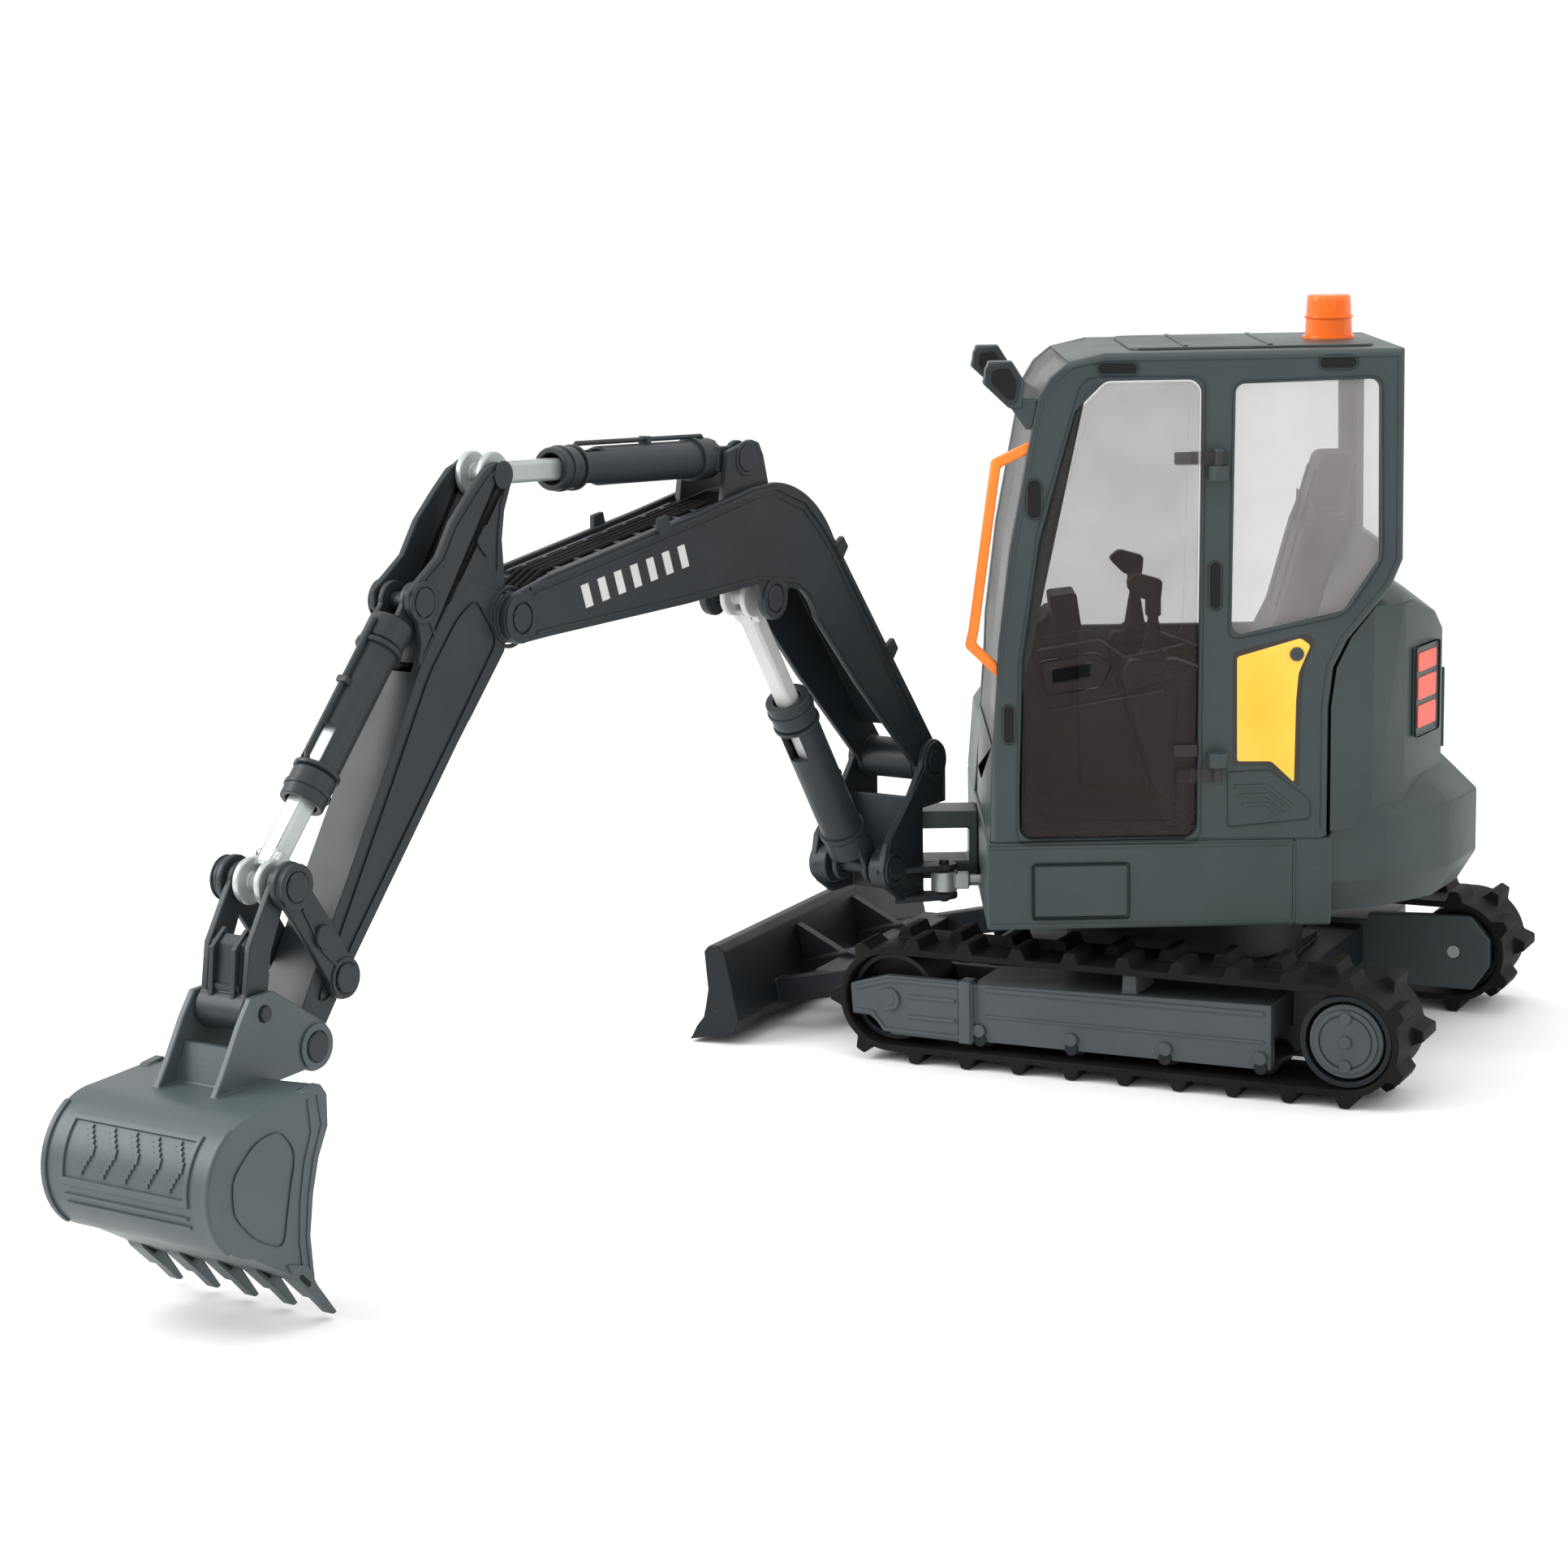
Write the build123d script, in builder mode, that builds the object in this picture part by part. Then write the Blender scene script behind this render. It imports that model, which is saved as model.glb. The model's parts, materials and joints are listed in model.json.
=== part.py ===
"""Toy compact excavator at about 1:16, in millimetres: +X to the blade, +Y to the left, +Z up."""
from build123d import *
import os
from math import atan2, cos, degrees, hypot, pi, radians, sin

os.makedirs("parts", exist_ok=True)

# ---- fits ----
RUNNING = 0.08          # radial clearance of a pin in the piece that turns on it
SEAT = 0.02             # radial clearance of a pin in the piece that holds it
GAP = 0.4               # between faces of pieces that move past each other
OPEN_PIVOT = 1.3        # radial clearance at the link pin where the bucket linkage is open

# ---- undercarriage ----
TRACK_WIDTH = 110.0     # over both belts
SHOE = 21.0             # width of a belt
WHEEL_BASE = 104.5      # idler centre to sprocket centre
BELT_RADIUS = 11.8      # outside of a belt, without its lugs
BELT_THICK = 1.5
LUG_HEIGHT = 2.4
LUG_FOOT = 4.4          # length of a lug along the belt, at the belt
LUG_TIP = 2.2
LUG_COUNT = 23          # lugs in each of the two staggered rows
TRACK_SHIFT = -1.8      # track centre behind the slew axis
WHEEL_RIM = 1.3
WHEEL_WIDTH = 14.0
HUB_DISC_RADIUS = 8.1
AXLE_RADIUS = 1.5
FRAME_PLATE = 3.0       # inner plate of a track frame
ROLLER_RADIUS = 2.6
ROLLER_LENGTH = 11.0
ROLLER_PITCH = 21.5
ROLLER_COUNT = 4
ROLLER_PIN = 1.1
DECK_TOP = 30.2         # top of the chassis frame
SLEW_RADIUS = 25.0
BLADE_WIDTH = TRACK_WIDTH
BLADE_ARM = 4.5         # thickness of a blade arm
BLADE_PIVOT = (40.0, 15.5)

# ---- upper body ----
SLEW_ANGLE = 24.9       # upper body turned to the left of the tracks
HOUSE_BOTTOM = 34.0
HOUSE_TOP = 53.2        # top of the skirt, where the cab stands
HOUSE_FRONT = 47.5
HOUSE_HALF = 47.4       # half the width, and the radius of the round tail
TAIL_CENTRE = -18.6
HOUSE_WALL = 1.8
CAB_LEFT = 47.4
CAB_WIDTH = 60.0
CAB_TOP = 157.7
CAB_WALL = 2.2
PILLAR = 4.2            # width of the front pillars across the cab
PANE = 1.0              # thickness of a window
PANE_CORNER = 2.0       # rounding of a side window's corners
DOOR_CORNER = 3.0       # rounding of the doorway's corners
HOOD_WALL = 1.6
HOOD_FLOOR = 54.5
RIGHT_COVER_TOP = 88.0
DOOR_THICK = 1.5
DOOR_PIN = 0.9
DOOR_PIN_X = -1.8
DOOR_PIN_OUT = 2.2      # door pin outside the side of the cab

# ---- swing post ----
SWING_X = 65.0          # vertical pin in front of the slew axis
SWING_ANGLE = 56.6      # boom turned to the left of the upper body
SWING_PIN = 2.2
SWING_LUG = 5.5         # radius of the lugs around the vertical pin
LUG_THICK = 4.0
UPPER_LUG_Z = 48.2
LOWER_LUG_Z = 36.6
ROD_EYE = (4.8, 14.5)   # swing cylinder eye, ahead of and left of the vertical pin
ROD_Z = 37.6
SWING_ROD_LENGTH = 35.0

# ---- boom, arm and bucket: pivots in the plane of the boom, (forward of the vertical pin, up) ----
BOOM_FOOT = (1.0, 64.0)
LIFT_BASE = (18.4, 42.3)
LIFT_TIP = (61.4, 108.3)
CROWD_BASE = (68.5, 138.3)
CROWD_TIP = (147.6, 142.0)
ARM_PIVOT = (147.2, 114.9)
TILT_BASE = (172.0, 120.7)
TILT_TIP = (213.8, 75.4)
ROCKER_PIVOT = (200.6, 56.0)
BUCKET_PIVOT = (209.7, 45.4)
LINK_PIVOT = (222.6, 54.2)

BOOM_HALF = 8.0
ARM_HALF = 5.3
ARM_HORN_HALF = 4.9     # the two upper horns of the arm stand a little closer together
PLATE = 1.4             # side plates of boom and arm
POST_PLATE = 1.5
ROCKER_PLATE = 1.4
PIN = 1.7               # radius of the linkage pins
HEAD = 2.7              # radius of their heads
HEAD_THICK = 0.6
BUCKET_WIDTH = 39.4
BUCKET_WALL = 1.4
TOOTH_COUNT = 5
BARREL_RADIUS = 3.9
LIFT_BARREL_RADIUS = 4.6
LIFT_BARREL_LENGTH = 50.0
CROWD_BARREL_LENGTH = 58.0
TILT_BARREL_LENGTH = 45.0
LIFT_ROD_LENGTH = 46.0
CROWD_ROD_LENGTH = 40.0
TILT_ROD_LENGTH = 34.0
CAP_START = 5.2         # closed end of a barrel, ahead of its base pin
CAP_WALL = 1.8
CAP_LENGTH = 5.0
GLAND_LENGTH = 6.0
COLLAR_RISE = 0.35      # cap and gland stand this much above the barrel
BORE_PLAY = 1.0         # between a rod and its barrel's bore
EAR_PLAY = 0.45         # between the arm cylinder's cap and the boom's ears
EAR_PLATE = 1.6
ROD_HALF = 2.1
EYE_RADIUS = 4.3
DISC_SPREAD = 5.0       # between the middles of the two discs of a rod eye
DISC_THICK = 1.4

pieces = {}


def finish(builder: BuildPart, name: str) -> None:
    """Label a finished piece and keep it for the export at the end."""
    builder.part.label = name
    pieces[name] = builder.part


def side(frame: Plane, y: float = 0.0) -> Plane:
    """Plane along the frame's X and Z at distance y; its normal points to the right."""
    return Plane(frame.from_local_coords((0, y, 0)), x_dir=frame.x_dir, z_dir=-frame.y_dir)


def level(frame: Plane, z: float = 0.0) -> Plane:
    """Plane along the frame's X and Y at height z."""
    return Plane(frame.from_local_coords((0, 0, z)), x_dir=frame.x_dir, z_dir=frame.z_dir)


def across(frame: Plane, x: float = 0.0) -> Plane:
    """Plane along the frame's Y and Z at distance x; its normal points forward."""
    return Plane(frame.from_local_coords((x, 0, 0)), x_dir=frame.y_dir, z_dir=frame.x_dir)


def toward(a: tuple, b: tuple, reach: float) -> tuple:
    """Point on the line from a to b, at the given distance from a."""
    length = hypot(b[0] - a[0], b[1] - a[1])
    return (a[0] + (b[0] - a[0]) * reach / length, a[1] + (b[1] - a[1]) * reach / length)


def slab(frame: Plane, outline: list, left: float, right: float, mode: Mode = Mode.ADD) -> None:
    """Add an outline in the frame's X and Z, extruded between two distances to the left."""
    with BuildSketch(side(frame, max(left, right))) as face:
        Polygon(*outline, align=None)
    extrude(face.sketch, amount=abs(left - right), mode=mode)


def rod(frame: Plane, at: tuple, radius: float, left: float, right: float, mode: Mode = Mode.ADD) -> None:
    """Add a round bar along the frame's Y through a point of its X and Z."""
    with BuildSketch(side(frame, max(left, right))) as face:
        with Locations(at):
            Circle(radius)
    extrude(face.sketch, amount=abs(left - right), mode=mode)


def post(frame: Plane, at: tuple, radius: float, low: float, high: float, mode: Mode = Mode.ADD) -> None:
    """Add an upright round bar through a point of the frame's X and Y."""
    with BuildSketch(level(frame, low)) as face:
        with Locations(at):
            Circle(radius)
    extrude(face.sketch, amount=high - low, mode=mode)


def block(frame: Plane, low: tuple, high: tuple, mode: Mode = Mode.ADD) -> None:
    """Add a box between two corners of a frame."""
    with BuildSketch(level(frame, low[2])) as face:
        with Locations(((low[0] + high[0]) / 2, (low[1] + high[1]) / 2)):
            Rectangle(high[0] - low[0], high[1] - low[1])
    extrude(face.sketch, amount=high[2] - low[2], mode=mode)


ground = Plane.XY
house = Plane.XY.rotated((0, 0, SLEW_ANGLE))
arm_frame = Plane(house.from_local_coords((SWING_X, 0, 0)), x_dir=house.x_dir, z_dir=house.z_dir)
arm_frame = arm_frame.rotated((0, 0, SWING_ANGLE))

# =====================================================================================
# Undercarriage
# =====================================================================================
wheel_z = BELT_RADIUS + LUG_HEIGHT
belt_inside = BELT_RADIUS - BELT_THICK
wheel_radius = belt_inside - 0.75 * GAP
track_y = (TRACK_WIDTH - SHOE) / 2
inner_edge = track_y - SHOE / 2
outer_edge = track_y + SHOE / 2
idler_x = TRACK_SHIFT + WHEEL_BASE / 2
sprocket_x = TRACK_SHIFT - WHEEL_BASE / 2
belt_length = 2 * WHEEL_BASE + 2 * pi * BELT_RADIUS
yoke_inset = 0.8
yoke_thick = 2.2
wheel_inner = inner_edge + FRAME_PLATE + GAP
wheel_outer = wheel_inner + WHEEL_WIDTH
roller_z = wheel_z - belt_inside + ROLLER_RADIUS + 0.05
beam_low = 6.2
beam_high = 20.4
beam_front = idler_x - 19.0
beam_rear = sprocket_x + 16.5
beam_outer = outer_edge - 2.0


def belt_station(travel: float) -> tuple:
    """Place and outward angle on a belt's outside, at a distance along it from the top rear."""
    travel = travel % belt_length
    arc = pi * BELT_RADIUS
    if travel < WHEEL_BASE:
        return sprocket_x + travel, wheel_z + BELT_RADIUS, 0.0
    if travel < WHEEL_BASE + arc:
        turn = (travel - WHEEL_BASE) / BELT_RADIUS
        return idler_x + BELT_RADIUS * sin(turn), wheel_z + BELT_RADIUS * cos(turn), -degrees(turn)
    if travel < 2 * WHEEL_BASE + arc:
        return idler_x - (travel - WHEEL_BASE - arc), wheel_z - BELT_RADIUS, 180.0
    turn = (travel - 2 * WHEEL_BASE - arc) / BELT_RADIUS
    return sprocket_x - BELT_RADIUS * sin(turn), wheel_z - BELT_RADIUS * cos(turn), 180.0 - degrees(turn)


def lug_row(plane: Plane, phase: float, width: float) -> None:
    """Add one row of lugs round a belt."""
    root = 0.3
    slope = degrees(atan2(LUG_HEIGHT + root, (LUG_FOOT - LUG_TIP) / 2))
    with BuildSketch(plane) as face:
        for index in range(LUG_COUNT):
            x, z, turn = belt_station((index + phase) * belt_length / LUG_COUNT)
            foot = (x - root * sin(-radians(turn)), z - root * cos(radians(turn)))
            with Locations(Location((foot[0], foot[1], 0), (0, 0, turn))):
                Trapezoid(LUG_FOOT, LUG_HEIGHT + root, slope, align=(Align.CENTER, Align.MIN))
    extrude(face.sketch, amount=width)


for label, hand in (("left", 1), ("right", -1)):
    with BuildPart() as belt:
        with BuildSketch(side(ground, track_y * hand + SHOE / 2)):
            with Locations((TRACK_SHIFT, wheel_z)):
                SlotCenterToCenter(WHEEL_BASE, 2 * BELT_RADIUS)
                SlotCenterToCenter(WHEEL_BASE, 2 * belt_inside, mode=Mode.SUBTRACT)
        extrude(amount=SHOE)
        lug_row(side(ground, track_y * hand + SHOE / 2), 0.0, SHOE / 2)
        lug_row(side(ground, track_y * hand), 0.5, SHOE / 2)
    finish(belt, f"track_belt_{label}")

    with BuildPart() as track_frame:
        # beam between the wheels, with a channel underneath for the rollers
        slab(ground, [(beam_rear, beam_low), (beam_front, beam_low), (beam_front, beam_high - 1.4),
                      (beam_rear, beam_high)], hand * inner_edge, hand * beam_outer)
        channel = ((inner_edge + FRAME_PLATE), beam_outer - 3.0)
        slab(ground, [(beam_rear - 1, beam_low), (beam_front + 2, beam_low), (beam_front + 2, 12.5),
                      (beam_rear - 1, 12.5)], hand * channel[0], hand * channel[1], Mode.SUBTRACT)
        # inner plate that carries both axles
        tail = sprocket_x - 8.6
        slab(ground, [(beam_rear + 4, wheel_z - 8.8), (sprocket_x - 4.6, wheel_z - 8.8),
                      (tail, wheel_z - 3.0), (tail, wheel_z + 3.4), (sprocket_x - 4.0, wheel_z + 8.8),
                      (beam_rear + 4, wheel_z + 7.6)], hand * inner_edge, hand * (inner_edge + FRAME_PLATE))
        nose = idler_x + 4.6
        slab(ground, [(beam_front - 1, beam_low), (nose - 2, wheel_z - 5.0), (nose, wheel_z - 2.0),
                      (nose, wheel_z + 3.0), (nose - 2, wheel_z + 5.0), (beam_front - 1, beam_high - 1.5)],
             hand * inner_edge, hand * (inner_edge + FRAME_PLATE))
        # outer yoke that reaches over the idler
        yoke_out = outer_edge - yoke_inset
        slab(ground, [(beam_front - 1, beam_low - 0.4), (beam_front + 18.5, beam_low - 0.1),
                      (idler_x + 4.9, wheel_z - 4.2), (idler_x + 9.1, wheel_z - 4.1),
                      (idler_x + 9.6, wheel_z + 2.9), (idler_x + 0.6, wheel_z + 5.4),
                      (beam_front - 1, beam_high - 0.9)], hand * (yoke_out - yoke_thick), hand * yoke_out)
        slab(ground, [(beam_front - 0.5, beam_low - 0.6), (beam_front + 2.4, beam_low - 0.6),
                      (beam_front + 2.4, beam_high - 0.6), (beam_front - 0.5, beam_high - 0.6)],
             hand * channel[1], hand * (yoke_out + 0.4))
        # pad under the upper run of the belt
        slab(ground, [(TRACK_SHIFT - 5.2, beam_high - 2), (TRACK_SHIFT - 1.4, beam_high - 2),
                      (TRACK_SHIFT - 1.8, wheel_z + belt_inside), (TRACK_SHIFT - 4.8, wheel_z + belt_inside)],
             hand * (track_y - 4), hand * (track_y + 7))
        for x in (idler_x, sprocket_x):
            rod(ground, (x, wheel_z), AXLE_RADIUS + SEAT, hand * (inner_edge - 1), hand * (inner_edge + 6),
                Mode.SUBTRACT)
        rod(ground, (idler_x, wheel_z), AXLE_RADIUS + SEAT, hand * (yoke_out - 3), hand * (yoke_out - 0.7),
            Mode.SUBTRACT)
        for index in range(ROLLER_COUNT):
            x = TRACK_SHIFT + (index - (ROLLER_COUNT - 1) / 2) * ROLLER_PITCH - 1.3
            rod(ground, (x, roller_z), ROLLER_PIN + SEAT, hand * (inner_edge + 1.4),
                hand * (beam_outer + 1), Mode.SUBTRACT)
    finish(track_frame, f"track_frame_{label}")

    with BuildPart() as rollers:
        for index in range(ROLLER_COUNT):
            x = TRACK_SHIFT + (index - (ROLLER_COUNT - 1) / 2) * ROLLER_PITCH - 1.3
            middle = (channel[0] + channel[1]) / 2
            rod(ground, (x, roller_z), ROLLER_RADIUS, hand * (middle - ROLLER_LENGTH / 2),
                hand * (middle + ROLLER_LENGTH / 2))
            rod(ground, (x, roller_z), ROLLER_PIN, hand * (inner_edge + 1.4), hand * (beam_outer + 0.5))
            rod(ground, (x, roller_z), ROLLER_PIN + 0.4, hand * beam_outer, hand * (beam_outer + 0.5))
    finish(rollers, f"track_rollers_{label}")

    with BuildPart() as idler:
        centre = (idler_x, wheel_z)
        rod(ground, centre, wheel_radius, hand * wheel_inner, hand * wheel_outer)
        rod(ground, centre, wheel_radius - WHEEL_RIM, hand * (wheel_outer - 4.5), hand * wheel_outer,
            Mode.SUBTRACT)
        rod(ground, centre, wheel_radius - WHEEL_RIM, hand * wheel_inner, hand * (wheel_inner + 4.5),
            Mode.SUBTRACT)
        rod(ground, centre, 3.6, hand * wheel_inner, hand * wheel_outer)
        rod(ground, centre, AXLE_RADIUS + RUNNING, hand * wheel_inner, hand * wheel_outer, Mode.SUBTRACT)
    finish(idler, f"idler_{label}")

    with BuildPart() as sprocket:
        centre = (sprocket_x, wheel_z)
        face = outer_edge - 1.2
        rod(ground, centre, wheel_radius, hand * wheel_inner, hand * face)
        rod(ground, centre, wheel_radius - WHEEL_RIM, hand * (wheel_outer - 5.0), hand * face, Mode.SUBTRACT)
        rod(ground, centre, wheel_radius - WHEEL_RIM, hand * wheel_inner, hand * (wheel_inner + 4.5),
            Mode.SUBTRACT)
        rod(ground, centre, 4.2, hand * wheel_inner, hand * (wheel_outer - 4.4))
        rod(ground, centre, AXLE_RADIUS + RUNNING, hand * wheel_inner, hand * wheel_outer, Mode.SUBTRACT)
    finish(sprocket, f"sprocket_{label}")

    with BuildPart() as hub_disc:
        rod(ground, centre, HUB_DISC_RADIUS, hand * (wheel_outer - 2.6), hand * face)
        rod(ground, centre, 4.6, hand * (wheel_outer - 4.4), hand * (wheel_outer - 2.6))
        rod(ground, centre, AXLE_RADIUS + 0.5, hand * (wheel_outer - 4.4), hand * (wheel_outer - 1.4),
            Mode.SUBTRACT)
        rod(ground, centre, HUB_DISC_RADIUS - 1.3, hand * face, hand * (face + 0.3))
        for lift in (-5.4, 0.0, 5.4):
            rod(ground, (sprocket_x, wheel_z + lift), 1.2, hand * (face + 0.3), hand * (face + 0.7))
    finish(hub_disc, f"hub_disc_{label}")

with BuildPart() as wheel_axles:
    for hand in (1, -1):
        rod(ground, (idler_x, wheel_z), AXLE_RADIUS, hand * inner_edge,
            hand * (outer_edge - yoke_inset - 0.8))
        rod(ground, (sprocket_x, wheel_z), AXLE_RADIUS, hand * inner_edge, hand * (wheel_outer - 2.0))
finish(wheel_axles, "wheel_axles")

with BuildPart() as chassis:
    # turret pedestal with a cross frame that bolts to the two inner plates
    post(ground, (0, 0), SLEW_RADIUS + 2, 13.0, DECK_TOP)
    for x in (beam_front - 9, beam_rear + 11):
        block(ground, (x - 6, -inner_edge, 10.0), (x + 6, inner_edge, 19.0))
    block(ground, (beam_rear + 11, -17, 10.0), (beam_front - 9, 17, 21.0))
    block(ground, (beam_front - 6, -17, 10.0), (BLADE_PIVOT[0] + 1.5, 17, 20.0))
    post(ground, (0, 0), SLEW_RADIUS - 6, 10.0, DECK_TOP - 4, Mode.SUBTRACT)
    post(ground, (0, 0), 6.0, 10.0, DECK_TOP)
    post(ground, (0, 0), 2.6 + SEAT, 10.0, DECK_TOP, Mode.SUBTRACT)
    for hand in (1, -1):
        arm_y = (inner_edge - GAP - BLADE_ARM - GAP) * hand
        rod(ground, BLADE_PIVOT, 4.2, arm_y, hand * 14)
        rod(ground, BLADE_PIVOT, PIN + SEAT, hand * (inner_edge + 2), hand * 18, Mode.SUBTRACT)
finish(chassis, "chassis_frame")

with BuildPart() as bottom_cover:
    post(ground, (0, 0), SLEW_RADIUS - 4, 8.4, 10.0)
    post(ground, (0, 0), 2.6 + SEAT, 8.4, 10.0, Mode.SUBTRACT)
finish(bottom_cover, "bottom_cover")

with BuildPart() as slew_ring:
    post(ground, (0, 0), SLEW_RADIUS, DECK_TOP, HOUSE_BOTTOM - GAP)
    post(ground, (0, 0), SLEW_RADIUS - 4, DECK_TOP, HOUSE_BOTTOM - GAP, Mode.SUBTRACT)
finish(slew_ring, "slew_ring")

with BuildPart() as slew_pin:
    post(ground, (0, 0), 2.6, 7.4, HOUSE_BOTTOM + 6)
    post(ground, (0, 0), 4.6, 6.6, 8.4)
    post(ground, (0, 0), 5.6, HOUSE_BOTTOM + HOUSE_WALL + GAP, HOUSE_BOTTOM + 6)
finish(slew_pin, "slew_pin")

# ---- dozer blade, drawn level and just clear of the ground ----
blade_rear = 91.0
with BuildPart() as blade:
    half = BLADE_WIDTH / 2
    outline = [(blade_rear, 21.6), (blade_rear + 1.6, 23.0), (blade_rear + 4.0, 22.8),
               (blade_rear + 5.2, 21.4),
               (blade_rear + 4.4, 12.6), (blade_rear + 5.6, 5.0), (blade_rear + 9.2, 0.5),
               (blade_rear - 2.0, 2.6), (blade_rear - 3.4, 5.6)]
    slab(ground, outline, half, -half)
    for hand in (1, -1):
        outer = inner_edge - GAP
        arm = [(blade_rear - 2, 4.6), (blade_rear - 2, 10.4), (BLADE_PIVOT[0] + 14, 18.2),
               (BLADE_PIVOT[0] + 1, BLADE_PIVOT[1] + 4.4), (BLADE_PIVOT[0] - 3.8, BLADE_PIVOT[1] + 2.6),
               (BLADE_PIVOT[0] - 3.8, BLADE_PIVOT[1] - 2.6), (BLADE_PIVOT[0] + 2, BLADE_PIVOT[1] - 4.4),
               (BLADE_PIVOT[0] + 16, 11.2)]
        slab(ground, arm, hand * outer, hand * (outer - BLADE_ARM))
        rod(ground, BLADE_PIVOT, PIN + RUNNING, hand * outer, hand * (outer - BLADE_ARM), Mode.SUBTRACT)
        gusset = [(blade_rear - 0.6, 20.2), (blade_rear - 2.6, 10.6), (blade_rear - 13.5, 13.2),
                  (blade_rear - 11.5, 14.6)]
        slab(ground, gusset, hand * 16.0 + 1.3, hand * 16.0 - 1.3)
        slab(ground, [(blade_rear - 2.6, 7.6), (blade_rear - 2.6, 11.6), (blade_rear - 14, 15.0),
                      (blade_rear - 17, 14.0)], hand * 16.0 + 2.6, hand * 16.0 - 2.6)
    # brace that ties the two arms
    block(ground, (blade_rear - 20, -outer + 1, 10.4), (blade_rear - 12, outer - 1, 13.6))
finish(blade, "dozer_blade")

with BuildPart() as blade_pins:
    for hand in (1, -1):
        rod(ground, BLADE_PIVOT, PIN, hand * (inner_edge - GAP + 0.2), hand * 20)
finish(blade_pins, "blade_pins")

# =====================================================================================
# Upper body
# =====================================================================================
cab_right = CAB_LEFT - CAB_WIDTH


def tail_plan(radius: float) -> list:
    """Faceted half-round plan of the tail, from its left front corner round to its right one."""
    angles = [90, 64, 40, 16, -16, -40, -64, -90]
    return [(TAIL_CENTRE - radius * cos(radians(a)), radius * sin(radians(a))) for a in angles]


with BuildPart() as house_base:
    block(house, (TAIL_CENTRE, -HOUSE_HALF, HOUSE_BOTTOM), (HOUSE_FRONT, HOUSE_HALF, HOUSE_TOP))
    block(house, (TAIL_CENTRE + HOUSE_WALL, -HOUSE_HALF + HOUSE_WALL, HOUSE_BOTTOM + HOUSE_WALL),
          (HOUSE_FRONT - HOUSE_WALL, HOUSE_HALF - HOUSE_WALL, HOUSE_TOP), Mode.SUBTRACT)
    # hole for the slewing pin, and a slot for the swing cylinder rod
    post(house, (0, 0), 2.6 + RUNNING, HOUSE_BOTTOM, HOUSE_BOTTOM + HOUSE_WALL, Mode.SUBTRACT)
    block(house, (HOUSE_FRONT - HOUSE_WALL, 3.2, ROD_Z - 1.75), (HOUSE_FRONT, 17.6, ROD_Z + 2.2),
          Mode.SUBTRACT)
    # shallow frame on the left skirt
    block(house, (17.2, HOUSE_HALF, 36.6), (37.5, HOUSE_HALF + 0.25, 48.2))
finish(house_base, "house_base")

with BuildPart() as swing_bracket:
    for z in (UPPER_LUG_Z, LOWER_LUG_Z):
        post(house, (SWING_X, 0), SWING_LUG, z, z + LUG_THICK)
        block(house, (HOUSE_FRONT, -SWING_LUG, z), (SWING_X, SWING_LUG, z + LUG_THICK))
    for z in (UPPER_LUG_Z, LOWER_LUG_Z):
        post(house, (SWING_X, 0), SWING_PIN + SEAT, z, z + LUG_THICK, Mode.SUBTRACT)
    block(house, (HOUSE_FRONT, -SWING_LUG, LOWER_LUG_Z), (HOUSE_FRONT + 2.0, SWING_LUG,
                                                          UPPER_LUG_Z + LUG_THICK))
finish(swing_bracket, "swing_bracket")

with BuildPart() as swing_pin:
    post(house, (SWING_X, 0), SWING_PIN, LOWER_LUG_Z - 0.6, UPPER_LUG_Z + LUG_THICK)
    post(house, (SWING_X, 0), SWING_PIN + 1.4, UPPER_LUG_Z + LUG_THICK, UPPER_LUG_Z + LUG_THICK + 0.9)
finish(swing_pin, "swing_pin")


def hood_form(inset: float, floor: float) -> Part:
    """Engine hood's outer form, or the same form inset on every side."""
    plan = [(-26.4 - inset, 46.4 - inset), (-36.0, 42.8 - inset), (-43.8 + 0.6 * inset, 36.6 - inset),
            (-55.4 + inset, 16.0 - 0.4 * inset), (-56.8 + inset, 0.0)]
    plan = plan + [(x, -y) for x, y in reversed(plan[:-1])]
    profile = [(-26.4 - inset, floor), (-26.4 - inset, 81.6), (-27.6 - inset, 90.0),
               (-30.8 - inset, 96.2 - inset),
               (-36.4 - inset, 102.6 - inset), (-46.5, 102.6 - inset), (-53.0 + inset, 98.2 - inset),
               (-57.6 + inset, 90.0), (-57.6 + inset, floor)]
    with BuildPart() as form:
        with BuildSketch(level(house, floor)):
            Polygon(*plan, align=None)
        extrude(amount=60)
        with BuildSketch(side(house, 60)):
            Polygon(*profile, align=None)
        extrude(amount=120, mode=Mode.INTERSECT)
    return form.part


hood_outer = hood_form(0.0, HOOD_FLOOR)
hood_inner = hood_form(HOOD_WALL, HOOD_FLOOR)

with BuildPart() as counterweight:
    sections = [(HOUSE_BOTTOM + 1.6, HOUSE_HALF - 4.5), (43.0, HOUSE_HALF), (57.0, HOUSE_HALF),
                (66.0, HOUSE_HALF - 9.5)]
    for z, radius in sections:
        with BuildSketch(level(house, z)):
            Polygon(*tail_plan(radius), align=None)
    loft(ruled=True)
    block(house, (TAIL_CENTRE - 8.0, -HOUSE_HALF, HOUSE_BOTTOM), (TAIL_CENTRE, HOUSE_HALF, HOUSE_TOP))
    block(house, (-26.4, -HOUSE_HALF, HOUSE_TOP), (TAIL_CENTRE, HOUSE_HALF, 70), Mode.SUBTRACT)
    add(hood_outer, mode=Mode.SUBTRACT)
    block(house, (-70, -60, 30), (-20, -HOUSE_HALF, 80), Mode.SUBTRACT)
finish(counterweight, "counterweight")

with BuildPart() as hood:
    add(hood_outer)
    add(hood_inner, mode=Mode.SUBTRACT)
finish(hood, "engine_hood")

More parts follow.
